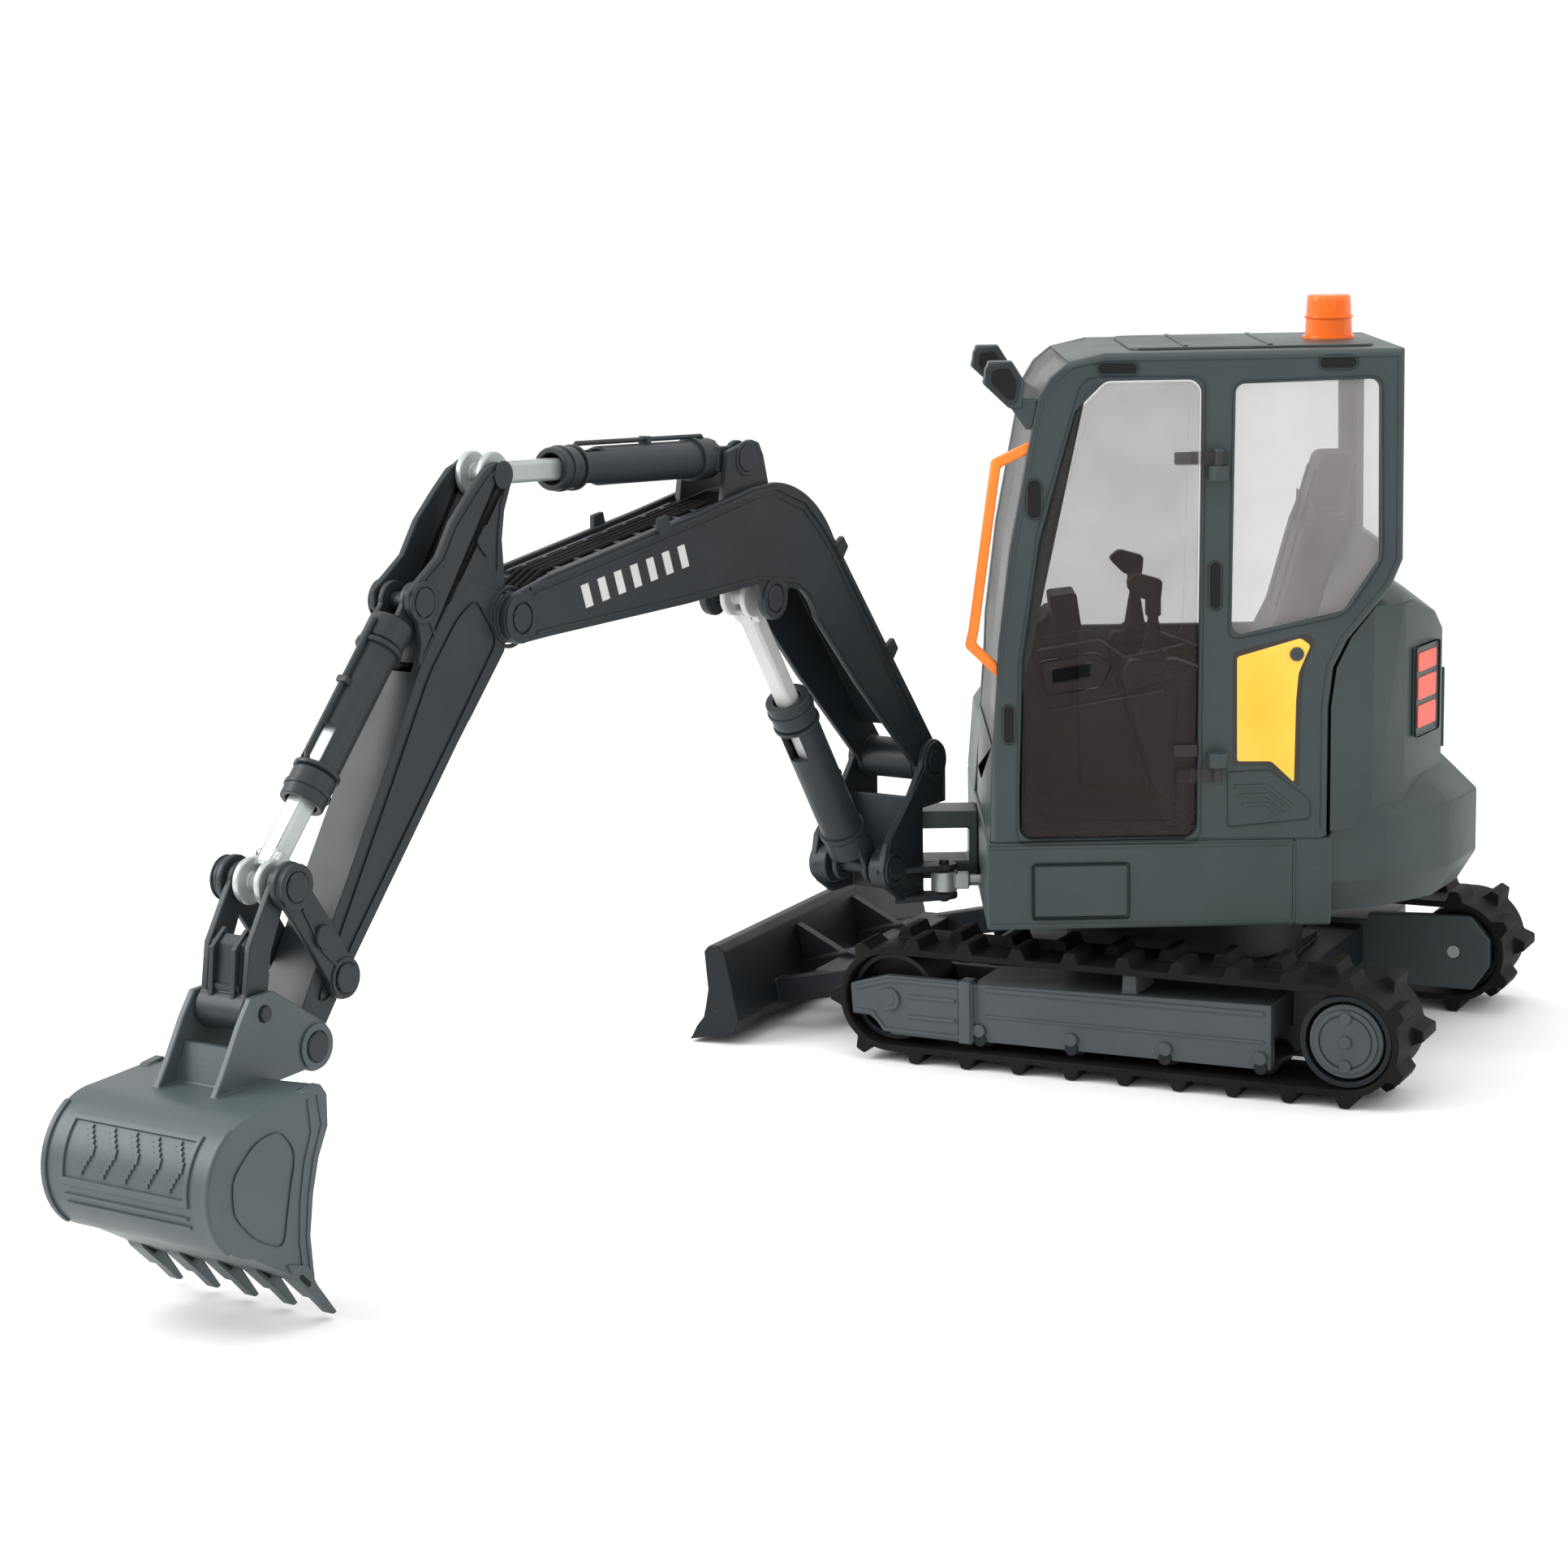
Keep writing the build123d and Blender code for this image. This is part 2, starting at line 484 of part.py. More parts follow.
with BuildPart() as tail_lights:
    for hand in (1, -1):
        a = (-43.8, 36.6 * hand)
        b = (-55.4, 16.0 * hand)
        turn = degrees(atan2(b[1] - a[1], b[0] - a[0]))
        middle = toward(a, b, 11.5)
        lamp = Plane(house.from_local_coords((middle[0], middle[1], 72.5)), x_dir=house.x_dir,
                     z_dir=house.z_dir)
        lamp = lamp.rotated((0, 0, turn))
        block(lamp, (-7.5, 0.0 if hand < 0 else -0.7, 0), (7.5, 0.7 if hand < 0 else 0.0, 19.5))
finish(tail_lights, "tail_lights")

with BuildPart() as right_cover:
    top = [(-25.8, HOUSE_TOP), (HOUSE_FRONT, HOUSE_TOP), (HOUSE_FRONT - 1.4, 70), (36.0, RIGHT_COVER_TOP - 4),
           (28.0, RIGHT_COVER_TOP), (-25.8, RIGHT_COVER_TOP)]
    slab(house, top, cab_right - 0.05, -HOUSE_HALF)
    with BuildSketch(across(house, -26)):
        with Locations((-HOUSE_HALF, RIGHT_COVER_TOP + 2)):
            Rectangle(12, 12, rotation=45)
    extrude(amount=80, mode=Mode.SUBTRACT)
    inner = [(-24.0, HOUSE_TOP), (HOUSE_FRONT - 2.2, HOUSE_TOP), (HOUSE_FRONT - 3.4, 69),
             (35.0, RIGHT_COVER_TOP - 6),
             (27.0, RIGHT_COVER_TOP - 2), (-24.0, RIGHT_COVER_TOP - 2)]
    slab(house, inner, cab_right - 2, -HOUSE_HALF + 4.5, Mode.SUBTRACT)
finish(right_cover, "right_cover")

# ---- cab ----
cab_outline = [(46.9, HOUSE_TOP), (46.2, 74.0), (45.1, 88.0), (44.8, 95.6), (42.2, 116.5), (37.4, 141.7),
               (35.9, 148.6), (33.4, 152.8), (29.5, 156.0), (21.8, CAB_TOP), (-41.2, CAB_TOP), (-41.4, 113.0),
               (-38.9, 107.0), (-29.8, 95.9), (-26.9, 90.0), (-25.9, 81.5), (-25.8, HOUSE_TOP)]
door_opening = [(40.4, HOUSE_TOP + 0.6), (40.4, 64.0), (39.6, 92.8), (35.9, 118.0), (28.2, 145.6),
                (21.8, 151.9),
                (1.5, 151.9), (2.4, HOUSE_TOP + 0.6)]
rear_pane = [(-5.6, 150.8), (-35.8, 151.4), (-36.2, 113.4), (-28.7, 102.2), (-4.9, 97.3)]
right_pane = [(26.0, 150.8), (-35.8, 151.4), (-36.2, 113.4), (-28.7, 102.2), (-20.0, 92.0), (38.0, 92.0),
              (34.6, 119.0)]


def inset_outline(outline: list, distance: float, corner: float) -> Sketch:
    """Face of an outline with rounded corners, moved inwards by a distance."""
    with BuildSketch(mode=Mode.PRIVATE) as face:
        Polygon(*outline, align=None)
        if corner > 0:
            fillet(face.vertices(), corner)
        offset(amount=-distance, kind=Kind.INTERSECTION)
    return face.sketch


def inset_slab(outline: list, distance: float, left: float, right: float, mode: Mode = Mode.ADD,
               corner: float = 0.0) -> None:
    """Extrude an inset outline across the upper body, between two distances to the left."""
    with BuildSketch(side(house, max(left, right))) as face:
        add(inset_outline(outline, distance, corner))
    extrude(face.sketch, amount=abs(left - right), mode=mode)


with BuildPart() as cab:
    inset_slab(cab_outline, 0.0, CAB_LEFT, cab_right)
    inset_slab(cab_outline, CAB_WALL, CAB_LEFT - CAB_WALL, cab_right + CAB_WALL, Mode.SUBTRACT)
    block(house, (-23.6, cab_right + CAB_WALL, HOUSE_TOP), (44.2, CAB_LEFT - CAB_WALL, HOUSE_TOP + 4),
          Mode.SUBTRACT)
    # openings: door, side windows, windshield that wraps into the roof, rear window
    inset_slab(door_opening, 0.0, CAB_LEFT, CAB_LEFT - CAB_WALL, Mode.SUBTRACT, DOOR_CORNER)
    inset_slab(rear_pane, 0.0, CAB_LEFT, CAB_LEFT - CAB_WALL, Mode.SUBTRACT, PANE_CORNER)
    inset_slab(right_pane, 0.0, cab_right, cab_right + CAB_WALL, Mode.SUBTRACT, PANE_CORNER)
    block(house, (22.4, cab_right + PILLAR, 60.0), (60.0, CAB_LEFT - PILLAR, CAB_TOP + 5), Mode.SUBTRACT)
    block(house, (-60, cab_right + PILLAR, 114.0), (-36, CAB_LEFT - PILLAR, 151.0), Mode.SUBTRACT)
finish(cab, "cab_shell")

with BuildPart() as windshield:
    inset_slab(cab_outline, 0.2, CAB_LEFT - PILLAR, cab_right + PILLAR)
    inset_slab(cab_outline, 0.2 + PANE, CAB_LEFT, cab_right, Mode.SUBTRACT)
    block(house, (22.4, cab_right + PILLAR, 97.2), (60.0, CAB_LEFT - PILLAR, CAB_TOP + 5), Mode.INTERSECT)
finish(windshield, "windshield")

with BuildPart() as lower_window:
    inset_slab(cab_outline, 0.2, CAB_LEFT - PILLAR, cab_right + PILLAR)
    inset_slab(cab_outline, 0.2 + PANE, CAB_LEFT, cab_right, Mode.SUBTRACT)
    block(house, (22.4, cab_right + PILLAR, 60.0), (60.0, CAB_LEFT - PILLAR, 97.2), Mode.INTERSECT)
finish(lower_window, "lower_window")

with BuildPart() as side_window_left:
    inset_slab(rear_pane, 0.0, CAB_LEFT - 0.6, CAB_LEFT - 0.6 - PANE, corner=PANE_CORNER)
finish(side_window_left, "side_window_left")

with BuildPart() as side_window_right:
    inset_slab(right_pane, 0.0, cab_right + 0.6, cab_right + 0.6 + PANE, corner=PANE_CORNER)
finish(side_window_right, "side_window_right")

with BuildPart() as rear_window:
    block(house, (-40.8, cab_right + PILLAR, 114.0), (-40.8 + PANE, CAB_LEFT - PILLAR, 151.0))
finish(rear_window, "rear_window")

with BuildPart() as door:
    skin = CAB_LEFT + 0.2
    inset_slab(door_opening, GAP, skin, skin - DOOR_THICK, corner=DOOR_CORNER)
    # handle frame with a finger slot
    handle = [(36.3, 92.4), (24.2, 94.4), (20.8, 91.8), (22.8, 87.2), (34.4, 85.6)]
    slab(house, handle, skin, skin + 1.0)
    slab(house, [(33.6, 91.0), (25.0, 92.2), (25.4, 88.8), (33.2, 87.8)], skin + 1, skin - DOOR_THICK,
         Mode.SUBTRACT)
    # hinge arms that reach back over the pillar
    axis = (DOOR_PIN_X, CAB_LEFT + DOOR_PIN_OUT)
    for z in (134.2, 66.4):
        block(house, (DOOR_PIN_X, CAB_LEFT + GAP, z), (7.2, CAB_LEFT + DOOR_PIN_OUT + 1.6, z + 2.8))
        block(house, (4.0, skin - 0.5, z), (7.2, CAB_LEFT + GAP + 0.2, z + 2.8))
        post(house, axis, 2.0, z, z + 2.8)
        post(house, axis, DOOR_PIN + RUNNING, z, z + 2.8, Mode.SUBTRACT)
finish(door, "door")

with BuildPart() as door_hinges:
    for z, rise in ((134.2, -1), (66.4, 1)):
        low = z - 3.4 if rise < 0 else z + 2.8 + 0.2
        post(house, axis, 2.1, low, low + 3.2)
        block(house, (DOOR_PIN_X - 2.1, CAB_LEFT, low), (DOOR_PIN_X + 2.1, CAB_LEFT + DOOR_PIN_OUT,
                                                         low + 3.2))
        post(house, axis, DOOR_PIN, z - 0.6, z + 3.4)
finish(door_hinges, "door_hinges")

# ---- inside the cab ----
with BuildPart() as console:
    floor = HOUSE_TOP
    block(house, (-23.4, cab_right + CAB_WALL + 0.2, floor), (44.0, CAB_LEFT - CAB_WALL - 0.2, floor + 2.0))
    slab(house, [(-23.0, floor + 2), (4.0, floor + 2), (6.0, 74.4), (-14.0, 78.0), (-23.0, 78.0)], 36.0, 0.0)
    for y in (36.0, -7.6):
        slab(house, [(-14.0, floor + 2), (8.0, floor + 2), (16.0, 82.0), (17.5, 89.0), (16.0, 91.5),
                     (6.0, 91.5), (-14.0, 84.0)], y + 5.6, y)
    slab(house, [(24.0, floor + 2), (36.0, floor + 2), (37.0, 92.0), (31.0, 98.0), (25.0, 94.0)], 8.0, -8.0)
finish(console, "console")

with BuildPart() as seat:
    slab(house, [(-14.0, 78.0), (6.0, 74.4), (12.0, 78.0), (11.0, 84.0), (-10.0, 85.0), (-17.5, 100.0),
                 (-22.5, 118.0),
                 (-27.2, 133.6), (-34.5, 133.6), (-31.5, 118.0), (-21.0, 84.0), (-20.0, 78.0)], 31.0, 4.0)
    slab(house, [(-24.4, 121.0), (-40, 121.0), (-40, 140.0), (-24.4, 140.0)], 33.0, 25.5, Mode.SUBTRACT)
    slab(house, [(-24.4, 121.0), (-40, 121.0), (-40, 140.0), (-24.4, 140.0)], 9.5, 2.0, Mode.SUBTRACT)
finish(seat, "seat")

with BuildPart() as levers:
    for y in (38.8, -4.8):
        foot = Plane(house.from_local_coords((11.0, y, 91.5)), x_dir=house.x_dir, z_dir=house.z_dir)
        with BuildSketch(foot):
            Circle(2.6)
        extrude(amount=8.0, taper=9)
        block(foot, (-1.1, -1.1, 6.0), (1.1, 1.1, 10.0))
        block(foot, (-1.6, -1.6, 9.5), (1.6, 1.6, 17.0))
finish(levers, "control_levers")

# ---- fittings on the cab ----
beacon_x, beacon_y = -29.3, 17.0
with BuildPart() as beacon:
    with BuildSketch(level(house, CAB_TOP)):
        with Locations((beacon_x, beacon_y)):
            Circle(5.2)
    extrude(amount=10.0, taper=3.0)
finish(beacon, "beacon")

for label, y in (("left", CAB_LEFT - 2.0), ("right", cab_right + 2.0)):
    with BuildPart() as mirror:
        block(house, (36.4, y - 1.0, 146.2), (41.0, y + 1.0, 148.6))
        slab(house, [(39.4, 146.6), (42.2, 146.6), (47.6, 151.8), (46.4, 156.4), (41.4, 156.4),
                     (38.8, 152.2)], y + 2.2, y - 2.2)
        slab(house, [(36.2, 142.0), (38.6, 142.0), (42.0, 147.0), (39.4, 148.2), (36.2, 148.2)], y + 1.6,
             y - 1.6)
        inset_slab(cab_outline, 0.0, y + 5, y - 5, Mode.SUBTRACT)
    finish(mirror, f"mirror_{label}")

rail_thick = 2.2
with BuildPart() as rail:
    with BuildSketch(side(house, CAB_LEFT - 1.0)):
        with BuildLine():
            Polyline((37.0, 138.4), (44.9, 134.8), (49.9, 99.2), (50.6, 96.2), (44.0, 89.8))
        trace(line_width=rail_thick)
    extrude(amount=rail_thick)
    inset_slab(cab_outline, 0.0, CAB_LEFT + 3, CAB_LEFT - 6, Mode.SUBTRACT)
finish(rail, "handrail")

# =====================================================================================
# Swing post and its cylinder rod
# =====================================================================================
post_inner = BOOM_HALF + GAP
post_outer = post_inner + POST_PLATE
hub_low = LOWER_LUG_Z + LUG_THICK + 0.3
hub_high = UPPER_LUG_Z - 0.3

with BuildPart() as swing_post:
    cheek = [(BOOM_FOOT[0] + 5.0, BOOM_FOOT[1]), (12.3, 56.4), (21.2, 48.6), (23.2, 42.3), (20.6, 38.0),
             (15.2, 34.6),
             (6.0, 34.6), (6.0, 54.0), (-3.9, 54.0), (-4.0, BOOM_FOOT[1])]
    for hand in (1, -1):
        slab(arm_frame, cheek, hand * post_inner, hand * post_outer)
        rod(arm_frame, BOOM_FOOT, 5.0, hand * post_inner, hand * post_outer)
        rod(arm_frame, LIFT_BASE, 4.6, hand * (post_outer - 4.2), hand * post_outer)
    # web across the cheeks, and the hub that turns on the vertical pin between the two lugs
    slab(arm_frame, [(6.0, 34.6), (7.4, 34.6), (7.4, 56.5), (6.0, 56.5)], post_inner, -post_inner)
    post(arm_frame, (0, 0), SWING_LUG - 0.4, hub_low, hub_high)
    block(arm_frame, (0, -4.6, hub_low), (6.4, 4.6, hub_high))
    post(arm_frame, (0, 0), SWING_PIN + RUNNING, hub_low, hub_high, Mode.SUBTRACT)
    # ears that hold the swing cylinder eye, outside the left cheek
    for low in (ROD_Z - 4.0, ROD_Z + 2.6):
        post(arm_frame, ROD_EYE, 3.0, low, low + 1.4)
        with BuildSketch(level(arm_frame, low)):
            Polygon((6.0, post_inner), (16.0, post_inner), (7.5, ROD_EYE[1] + 1.4),
                    (ROD_EYE[0], ROD_EYE[1] + 3.0),
                    (ROD_EYE[0] - 2.4, ROD_EYE[1]), (6.0, post_outer), align=None)
        extrude(amount=1.4)
        post(arm_frame, ROD_EYE, 1.1 + SEAT, low, low + 1.4, Mode.SUBTRACT)
    for at in (BOOM_FOOT, LIFT_BASE):
        rod(arm_frame, at, PIN + SEAT, post_outer, -post_outer, Mode.SUBTRACT)
finish(swing_post, "swing_post")


def headed_pin(at: tuple, half: float) -> None:
    """Add a pin across the boom's plane with a head at each end, outside its plates."""
    rod(arm_frame, at, PIN, half + HEAD_THICK, -half - HEAD_THICK)
    rod(arm_frame, at, HEAD, half + HEAD_THICK, half)
    rod(arm_frame, at, HEAD, -half, -half - HEAD_THICK)


def stub_pins(at: tuple, inner: float, outer: float) -> None:
    """Add a short headed pin in each of two plates, with nothing between the plates."""
    for hand in (1, -1):
        rod(arm_frame, at, PIN, hand * inner, hand * (outer + HEAD_THICK))
        rod(arm_frame, at, HEAD, hand * outer, hand * (outer + HEAD_THICK))


with BuildPart() as post_pins:
    headed_pin(BOOM_FOOT, post_outer)
    headed_pin(LIFT_BASE, post_outer)
    post(arm_frame, ROD_EYE, 1.1, ROD_Z - 4.8, ROD_Z + 4.8)
finish(post_pins, "swing_post_pins")

# rod of the swing cylinder: it keeps pointing along the upper body
rod_eye_world = arm_frame.from_local_coords((ROD_EYE[0], ROD_EYE[1], 0))
rod_frame = Plane(rod_eye_world, x_dir=house.x_dir, z_dir=house.z_dir)
with BuildPart() as swing_rod:
    post(rod_frame, (0, 0), 3.0, ROD_Z - 2.3, ROD_Z + 2.3)
    block(rod_frame, (-5.6, -1.9, ROD_Z - 1.7), (-2.0, 1.9, ROD_Z + 1.7))
    with BuildSketch(across(rod_frame, -SWING_ROD_LENGTH)):
        with Locations((0, ROD_Z)):
            Circle(1.3)
    extrude(amount=SWING_ROD_LENGTH - 4)
    post(rod_frame, (0, 0), 1.1 + RUNNING, ROD_Z - 2.3, ROD_Z + 2.3, Mode.SUBTRACT)
finish(swing_rod, "swing_rod")

# =====================================================================================
# Boom
# =====================================================================================
boom_inner = BOOM_HALF - PLATE
with BuildPart() as boom:
    for hand in (1, -1):
        with BuildSketch(side(arm_frame, max(hand * boom_inner, hand * BOOM_HALF))):
            with BuildLine():
                Polyline((-3.4, 66.6), (17.7, 93.0), (38.0, 118.8))
                ThreePointArc((38.0, 118.8), (47.4, 128.4), (60.0, 132.6))
                Polyline((60.0, 132.6), (68.0, 132.3), (88.7, 129.0), (137.8, 122.0),
                         (ARM_PIVOT[0], ARM_PIVOT[1] + 5.0))
                Line((ARM_PIVOT[0], ARM_PIVOT[1] + 5.0), (ARM_PIVOT[0], ARM_PIVOT[1] - 5.0))
                Polyline((ARM_PIVOT[0], ARM_PIVOT[1] - 5.0), (138.4, 110.2), (92.6, 110.9), (67.0, 111.9),
                         (LIFT_TIP[0] + 4.4, LIFT_TIP[1]), (LIFT_TIP[0] - 4.4, LIFT_TIP[1]), (55.5, 110.0),
                         (51.0, 109.0))
                ThreePointArc((51.0, 109.0), (47.4, 106.0), (44.9, 101.7))
                Polyline((44.9, 101.7), (30.2, 86.4), (9.0, 66.4), (BOOM_FOOT[0] + 1.0, BOOM_FOOT[1] - 4.0),
                         (-3.4, 66.6))
            make_face()
            for at, radius in ((ARM_PIVOT, 5.0), (LIFT_TIP, 4.5), (BOOM_FOOT, 4.8)):
                with Locations(at):
                    Circle(radius)
        extrude(amount=PLATE)
    # deck between the plates, set a little below their top edge
    with BuildSketch(side(arm_frame, boom_inner)):
        with BuildLine():
            Polyline((4.2, 72.6), (19.2, 91.8), (39.6, 117.6))
            ThreePointArc((39.6, 117.6), (48.4, 126.6), (60.2, 130.6))
            Polyline((60.2, 130.6), (68.0, 130.3), (88.4, 127.0), (136.0, 120.2))
        trace(line_width=PLATE)
    extrude(amount=2 * boom_inner)
    # tubes between the plates at the two lower pins
    rod(arm_frame, BOOM_FOOT, 4.6, boom_inner, -boom_inner)
    # ears for the arm cylinder, clear of its cap
    ear_half = BARREL_RADIUS + COLLAR_RISE + EAR_PLAY
    for hand in (1, -1):
        ear = [(77.0, 129.0), (74.6, 140.2), (66.0, 142.0), (63.4, 141.2), (61.8, 138.4), (59.6, 130.4)]
        slab(arm_frame, ear, hand * ear_half, hand * (ear_half + EAR_PLATE))
    rod(arm_frame, BOOM_FOOT, PIN + RUNNING, BOOM_HALF, -BOOM_HALF, Mode.SUBTRACT)
    for at in (ARM_PIVOT, LIFT_TIP, CROWD_BASE):
        rod(arm_frame, at, PIN + SEAT, BOOM_HALF, -BOOM_HALF, Mode.SUBTRACT)
finish(boom, "boom")

with BuildPart() as boom_pins:
    headed_pin(ARM_PIVOT, BOOM_HALF)
    headed_pin(CROWD_BASE, BARREL_RADIUS + COLLAR_RISE + EAR_PLAY + EAR_PLATE)
    stub_pins(LIFT_TIP, boom_inner, BOOM_HALF)
finish(boom_pins, "boom_pins")


# =====================================================================================
# Cylinders: a barrel on its base pin, and a rod that slides in it
# =====================================================================================
def cylinder_frame(base: tuple, tip: tuple) -> Plane:
    """Frame with its origin at the base pin, X along the cylinder and Y across the boom."""
    start = arm_frame.from_local_coords((base[0], 0, base[1]))
    end = arm_frame.from_local_coords((tip[0], 0, tip[1]))
    along = end - start
    return Plane(start, x_dir=along, z_dir=along.cross(arm_frame.y_dir))


def make_barrel(name: str, base: tuple, tip: tuple, length: float, radius: float, eye_half: float) -> None:
    """Make a barrel: eye, cap, tube with two windows near its mouth, and gland."""
    frame = cylinder_frame(base, tip)
    cheek = 1.3
    window_end = length - GLAND_LENGTH - 1.5
    with BuildPart() as barrel:
        rod(frame, (0, 0), EYE_RADIUS - 0.6, eye_half, -eye_half)
        rod(frame, (0, 0), EYE_RADIUS, eye_half - cheek, cheek - eye_half, Mode.SUBTRACT)
        for start, reach, rise in ((CAP_START, length - CAP_START, 0.0), (CAP_START, CAP_LENGTH, COLLAR_RISE),
                                   (length - GLAND_LENGTH, GLAND_LENGTH, COLLAR_RISE)):
            with BuildSketch(across(frame, start)):
                Circle(radius + rise)
            extrude(amount=reach)
        for low, high in ((-eye_half, cheek - eye_half), (eye_half - cheek, eye_half)):
            block(frame, (0, low, -2.6), (CAP_START + CAP_WALL, high, 2.6))
        rod(frame, (0, 0), PIN + RUNNING, eye_half, -eye_half, Mode.SUBTRACT)
        with BuildSketch(across(frame, CAP_START + CAP_WALL)):
            Circle(ROD_HALF + BORE_PLAY)
        extrude(amount=length, mode=Mode.SUBTRACT)
        block(frame, (window_end - 7.5, -2.4, -radius - 1), (window_end, 2.4, radius + 1), Mode.SUBTRACT)
    finish(barrel, name)


def make_rod(name: str, base: tuple, tip: tuple, length: float) -> None:
    """Make a rod that ends in a fork of two round discs at the tip pin."""
    frame = cylinder_frame(tip, base)
    fork = (DISC_SPREAD + DISC_THICK) / 2
    with BuildPart() as piece:
        with BuildSketch(across(frame, EYE_RADIUS - 1.0)):
            RectangleRounded(2 * ROD_HALF, 2 * ROD_HALF, 0.9)
        extrude(amount=length - EYE_RADIUS + 1.0)
        block(frame, (2.6, -fork, -1.9), (EYE_RADIUS + 1.4, fork, 1.9))
        for hand in (1, -1):
            rod(frame, (0, 0), EYE_RADIUS, hand * fork, hand * (fork - DISC_THICK))
        rod(frame, (0, 0), 1.8, DISC_SPREAD / 2, -DISC_SPREAD / 2)
    finish(piece, name)


make_barrel("boom_barrel", LIFT_BASE, LIFT_TIP, LIFT_BARREL_LENGTH, LIFT_BARREL_RADIUS, 4.6)
make_rod("boom_rod", LIFT_BASE, LIFT_TIP, LIFT_ROD_LENGTH)
make_barrel("arm_barrel", CROWD_BASE, CROWD_TIP, CROWD_BARREL_LENGTH, BARREL_RADIUS, 4.4)
make_rod("arm_rod", CROWD_BASE, CROWD_TIP, CROWD_ROD_LENGTH)
make_barrel("bucket_barrel", TILT_BASE, TILT_TIP, TILT_BARREL_LENGTH, BARREL_RADIUS, 3.2)
make_rod("bucket_rod", TILT_BASE, TILT_TIP, TILT_ROD_LENGTH)

# =====================================================================================
# Arm
# =====================================================================================
arm_back = [(149.2, 109.4), (164.4, 92.7), (195.4, 58.6), (204.4, 47.6)]
with BuildPart() as arm:
    horn = [(148.9, 144.6), (145.2, 143.4), (144.6, 140.6), (147.2, 135.2), (148.2, 129.8), (147.6, 119.0),
            (149.0, 108.8), (160.0, 97.0), (176.0, 101.0), (174.4, 108.4), (172.9, 113.4), (173.6, 116.8),
            (176.1, 119.8), (176.0, 123.0), (172.8, 125.0), (167.2, 128.6), (162.9, 134.6), (157.3, 139.6),
            (152.6, 143.4)]
    for hand in (1, -1):
        slab(arm_frame, horn, hand * (ARM_HORN_HALF - PLATE), hand * ARM_HORN_HALF)
    # box section from the pivot down to the tip
    box = [(147.6, 119.0), (149.0, 108.8)] + arm_back[1:] + [(211.5, 41.9), (213.4, 47.2), (207.0, 57.5),
                                                             (199.8, 68.6),
           (184.6, 91.9), (173.5, 109.5), (165.0, 119.0), (158.0, 123.0)]
    with BuildSketch(side(arm_frame, ARM_HALF)):
        Polygon(*box, align=None)
    extrude(amount=2 * ARM_HALF)
    core = [(153.5, 114.0), (165.0, 99.5), (196.0, 65.5), (203.0, 56.0), (197.6, 68.0), (182.4, 90.8),
            (169.0, 111.0)]
    slab(arm_frame, core, ARM_HALF - PLATE, -ARM_HALF + PLATE, Mode.SUBTRACT)
    rod(arm_frame, ARM_PIVOT, 4.9, boom_inner - GAP / 2, -boom_inner + GAP / 2)
    rod(arm_frame, BUCKET_PIVOT, 4.0, ARM_HALF, -ARM_HALF)
    rod(arm_frame, ARM_PIVOT, PIN + RUNNING, BOOM_HALF, -BOOM_HALF, Mode.SUBTRACT)
    for at in (TILT_BASE, CROWD_TIP, ROCKER_PIVOT, BUCKET_PIVOT):
        rod(arm_frame, at, PIN + SEAT, BOOM_HALF, -BOOM_HALF, Mode.SUBTRACT)
finish(arm, "arm")

rocker_inner = ARM_HALF + GAP
rocker_outer = rocker_inner + ROCKER_PLATE
ear_inner = ARM_HALF + GAP + 0.3
ear_outer = ear_inner + POST_PLATE
with BuildPart() as arm_pins:
    headed_pin(TILT_BASE, ARM_HORN_HALF)
    stub_pins(CROWD_TIP, ARM_HORN_HALF - PLATE, ARM_HORN_HALF)
    headed_pin(ROCKER_PIVOT, rocker_outer + 0.2)
    headed_pin(BUCKET_PIVOT, ear_outer + 0.2)
finish(arm_pins, "arm_pins")

# =====================================================================================
# Bucket linkage
# =====================================================================================
with BuildPart() as rockers:
    elbow = (206.3, 64.8)
    for hand in (1, -1):
        with BuildSketch(side(arm_frame, max(hand * rocker_inner, hand * rocker_outer))):
            with BuildLine():
                Polyline(ROCKER_PIVOT, elbow, TILT_TIP)
            trace(line_width=7.0)
            for at, radius in ((ROCKER_PIVOT, 4.0), (TILT_TIP, 4.4), (elbow, 3.6)):
                with Locations(at):
                    Circle(radius)
        extrude(amount=ROCKER_PLATE)
        rod(arm_frame, elbow, 1.7, hand * rocker_outer, hand * (rocker_outer + 0.6))
        rod(arm_frame, TILT_TIP, 4.0, hand * rocker_outer, hand * (rocker_outer + 1.2))
    rod(arm_frame, ROCKER_PIVOT, PIN + RUNNING, rocker_outer, -rocker_outer, Mode.SUBTRACT)
    rod(arm_frame, TILT_TIP, PIN + SEAT, rocker_outer + 1.2, -rocker_outer - 1.2, Mode.SUBTRACT)
finish(rockers, "rocker_links")

link_outer = rocker_inner - GAP / 2
link_inner = link_outer - 1.5
with BuildPart() as rocker_pins:
    stub_pins(TILT_TIP, link_inner, rocker_outer + 1.2)
finish(rocker_pins, "rocker_pins")

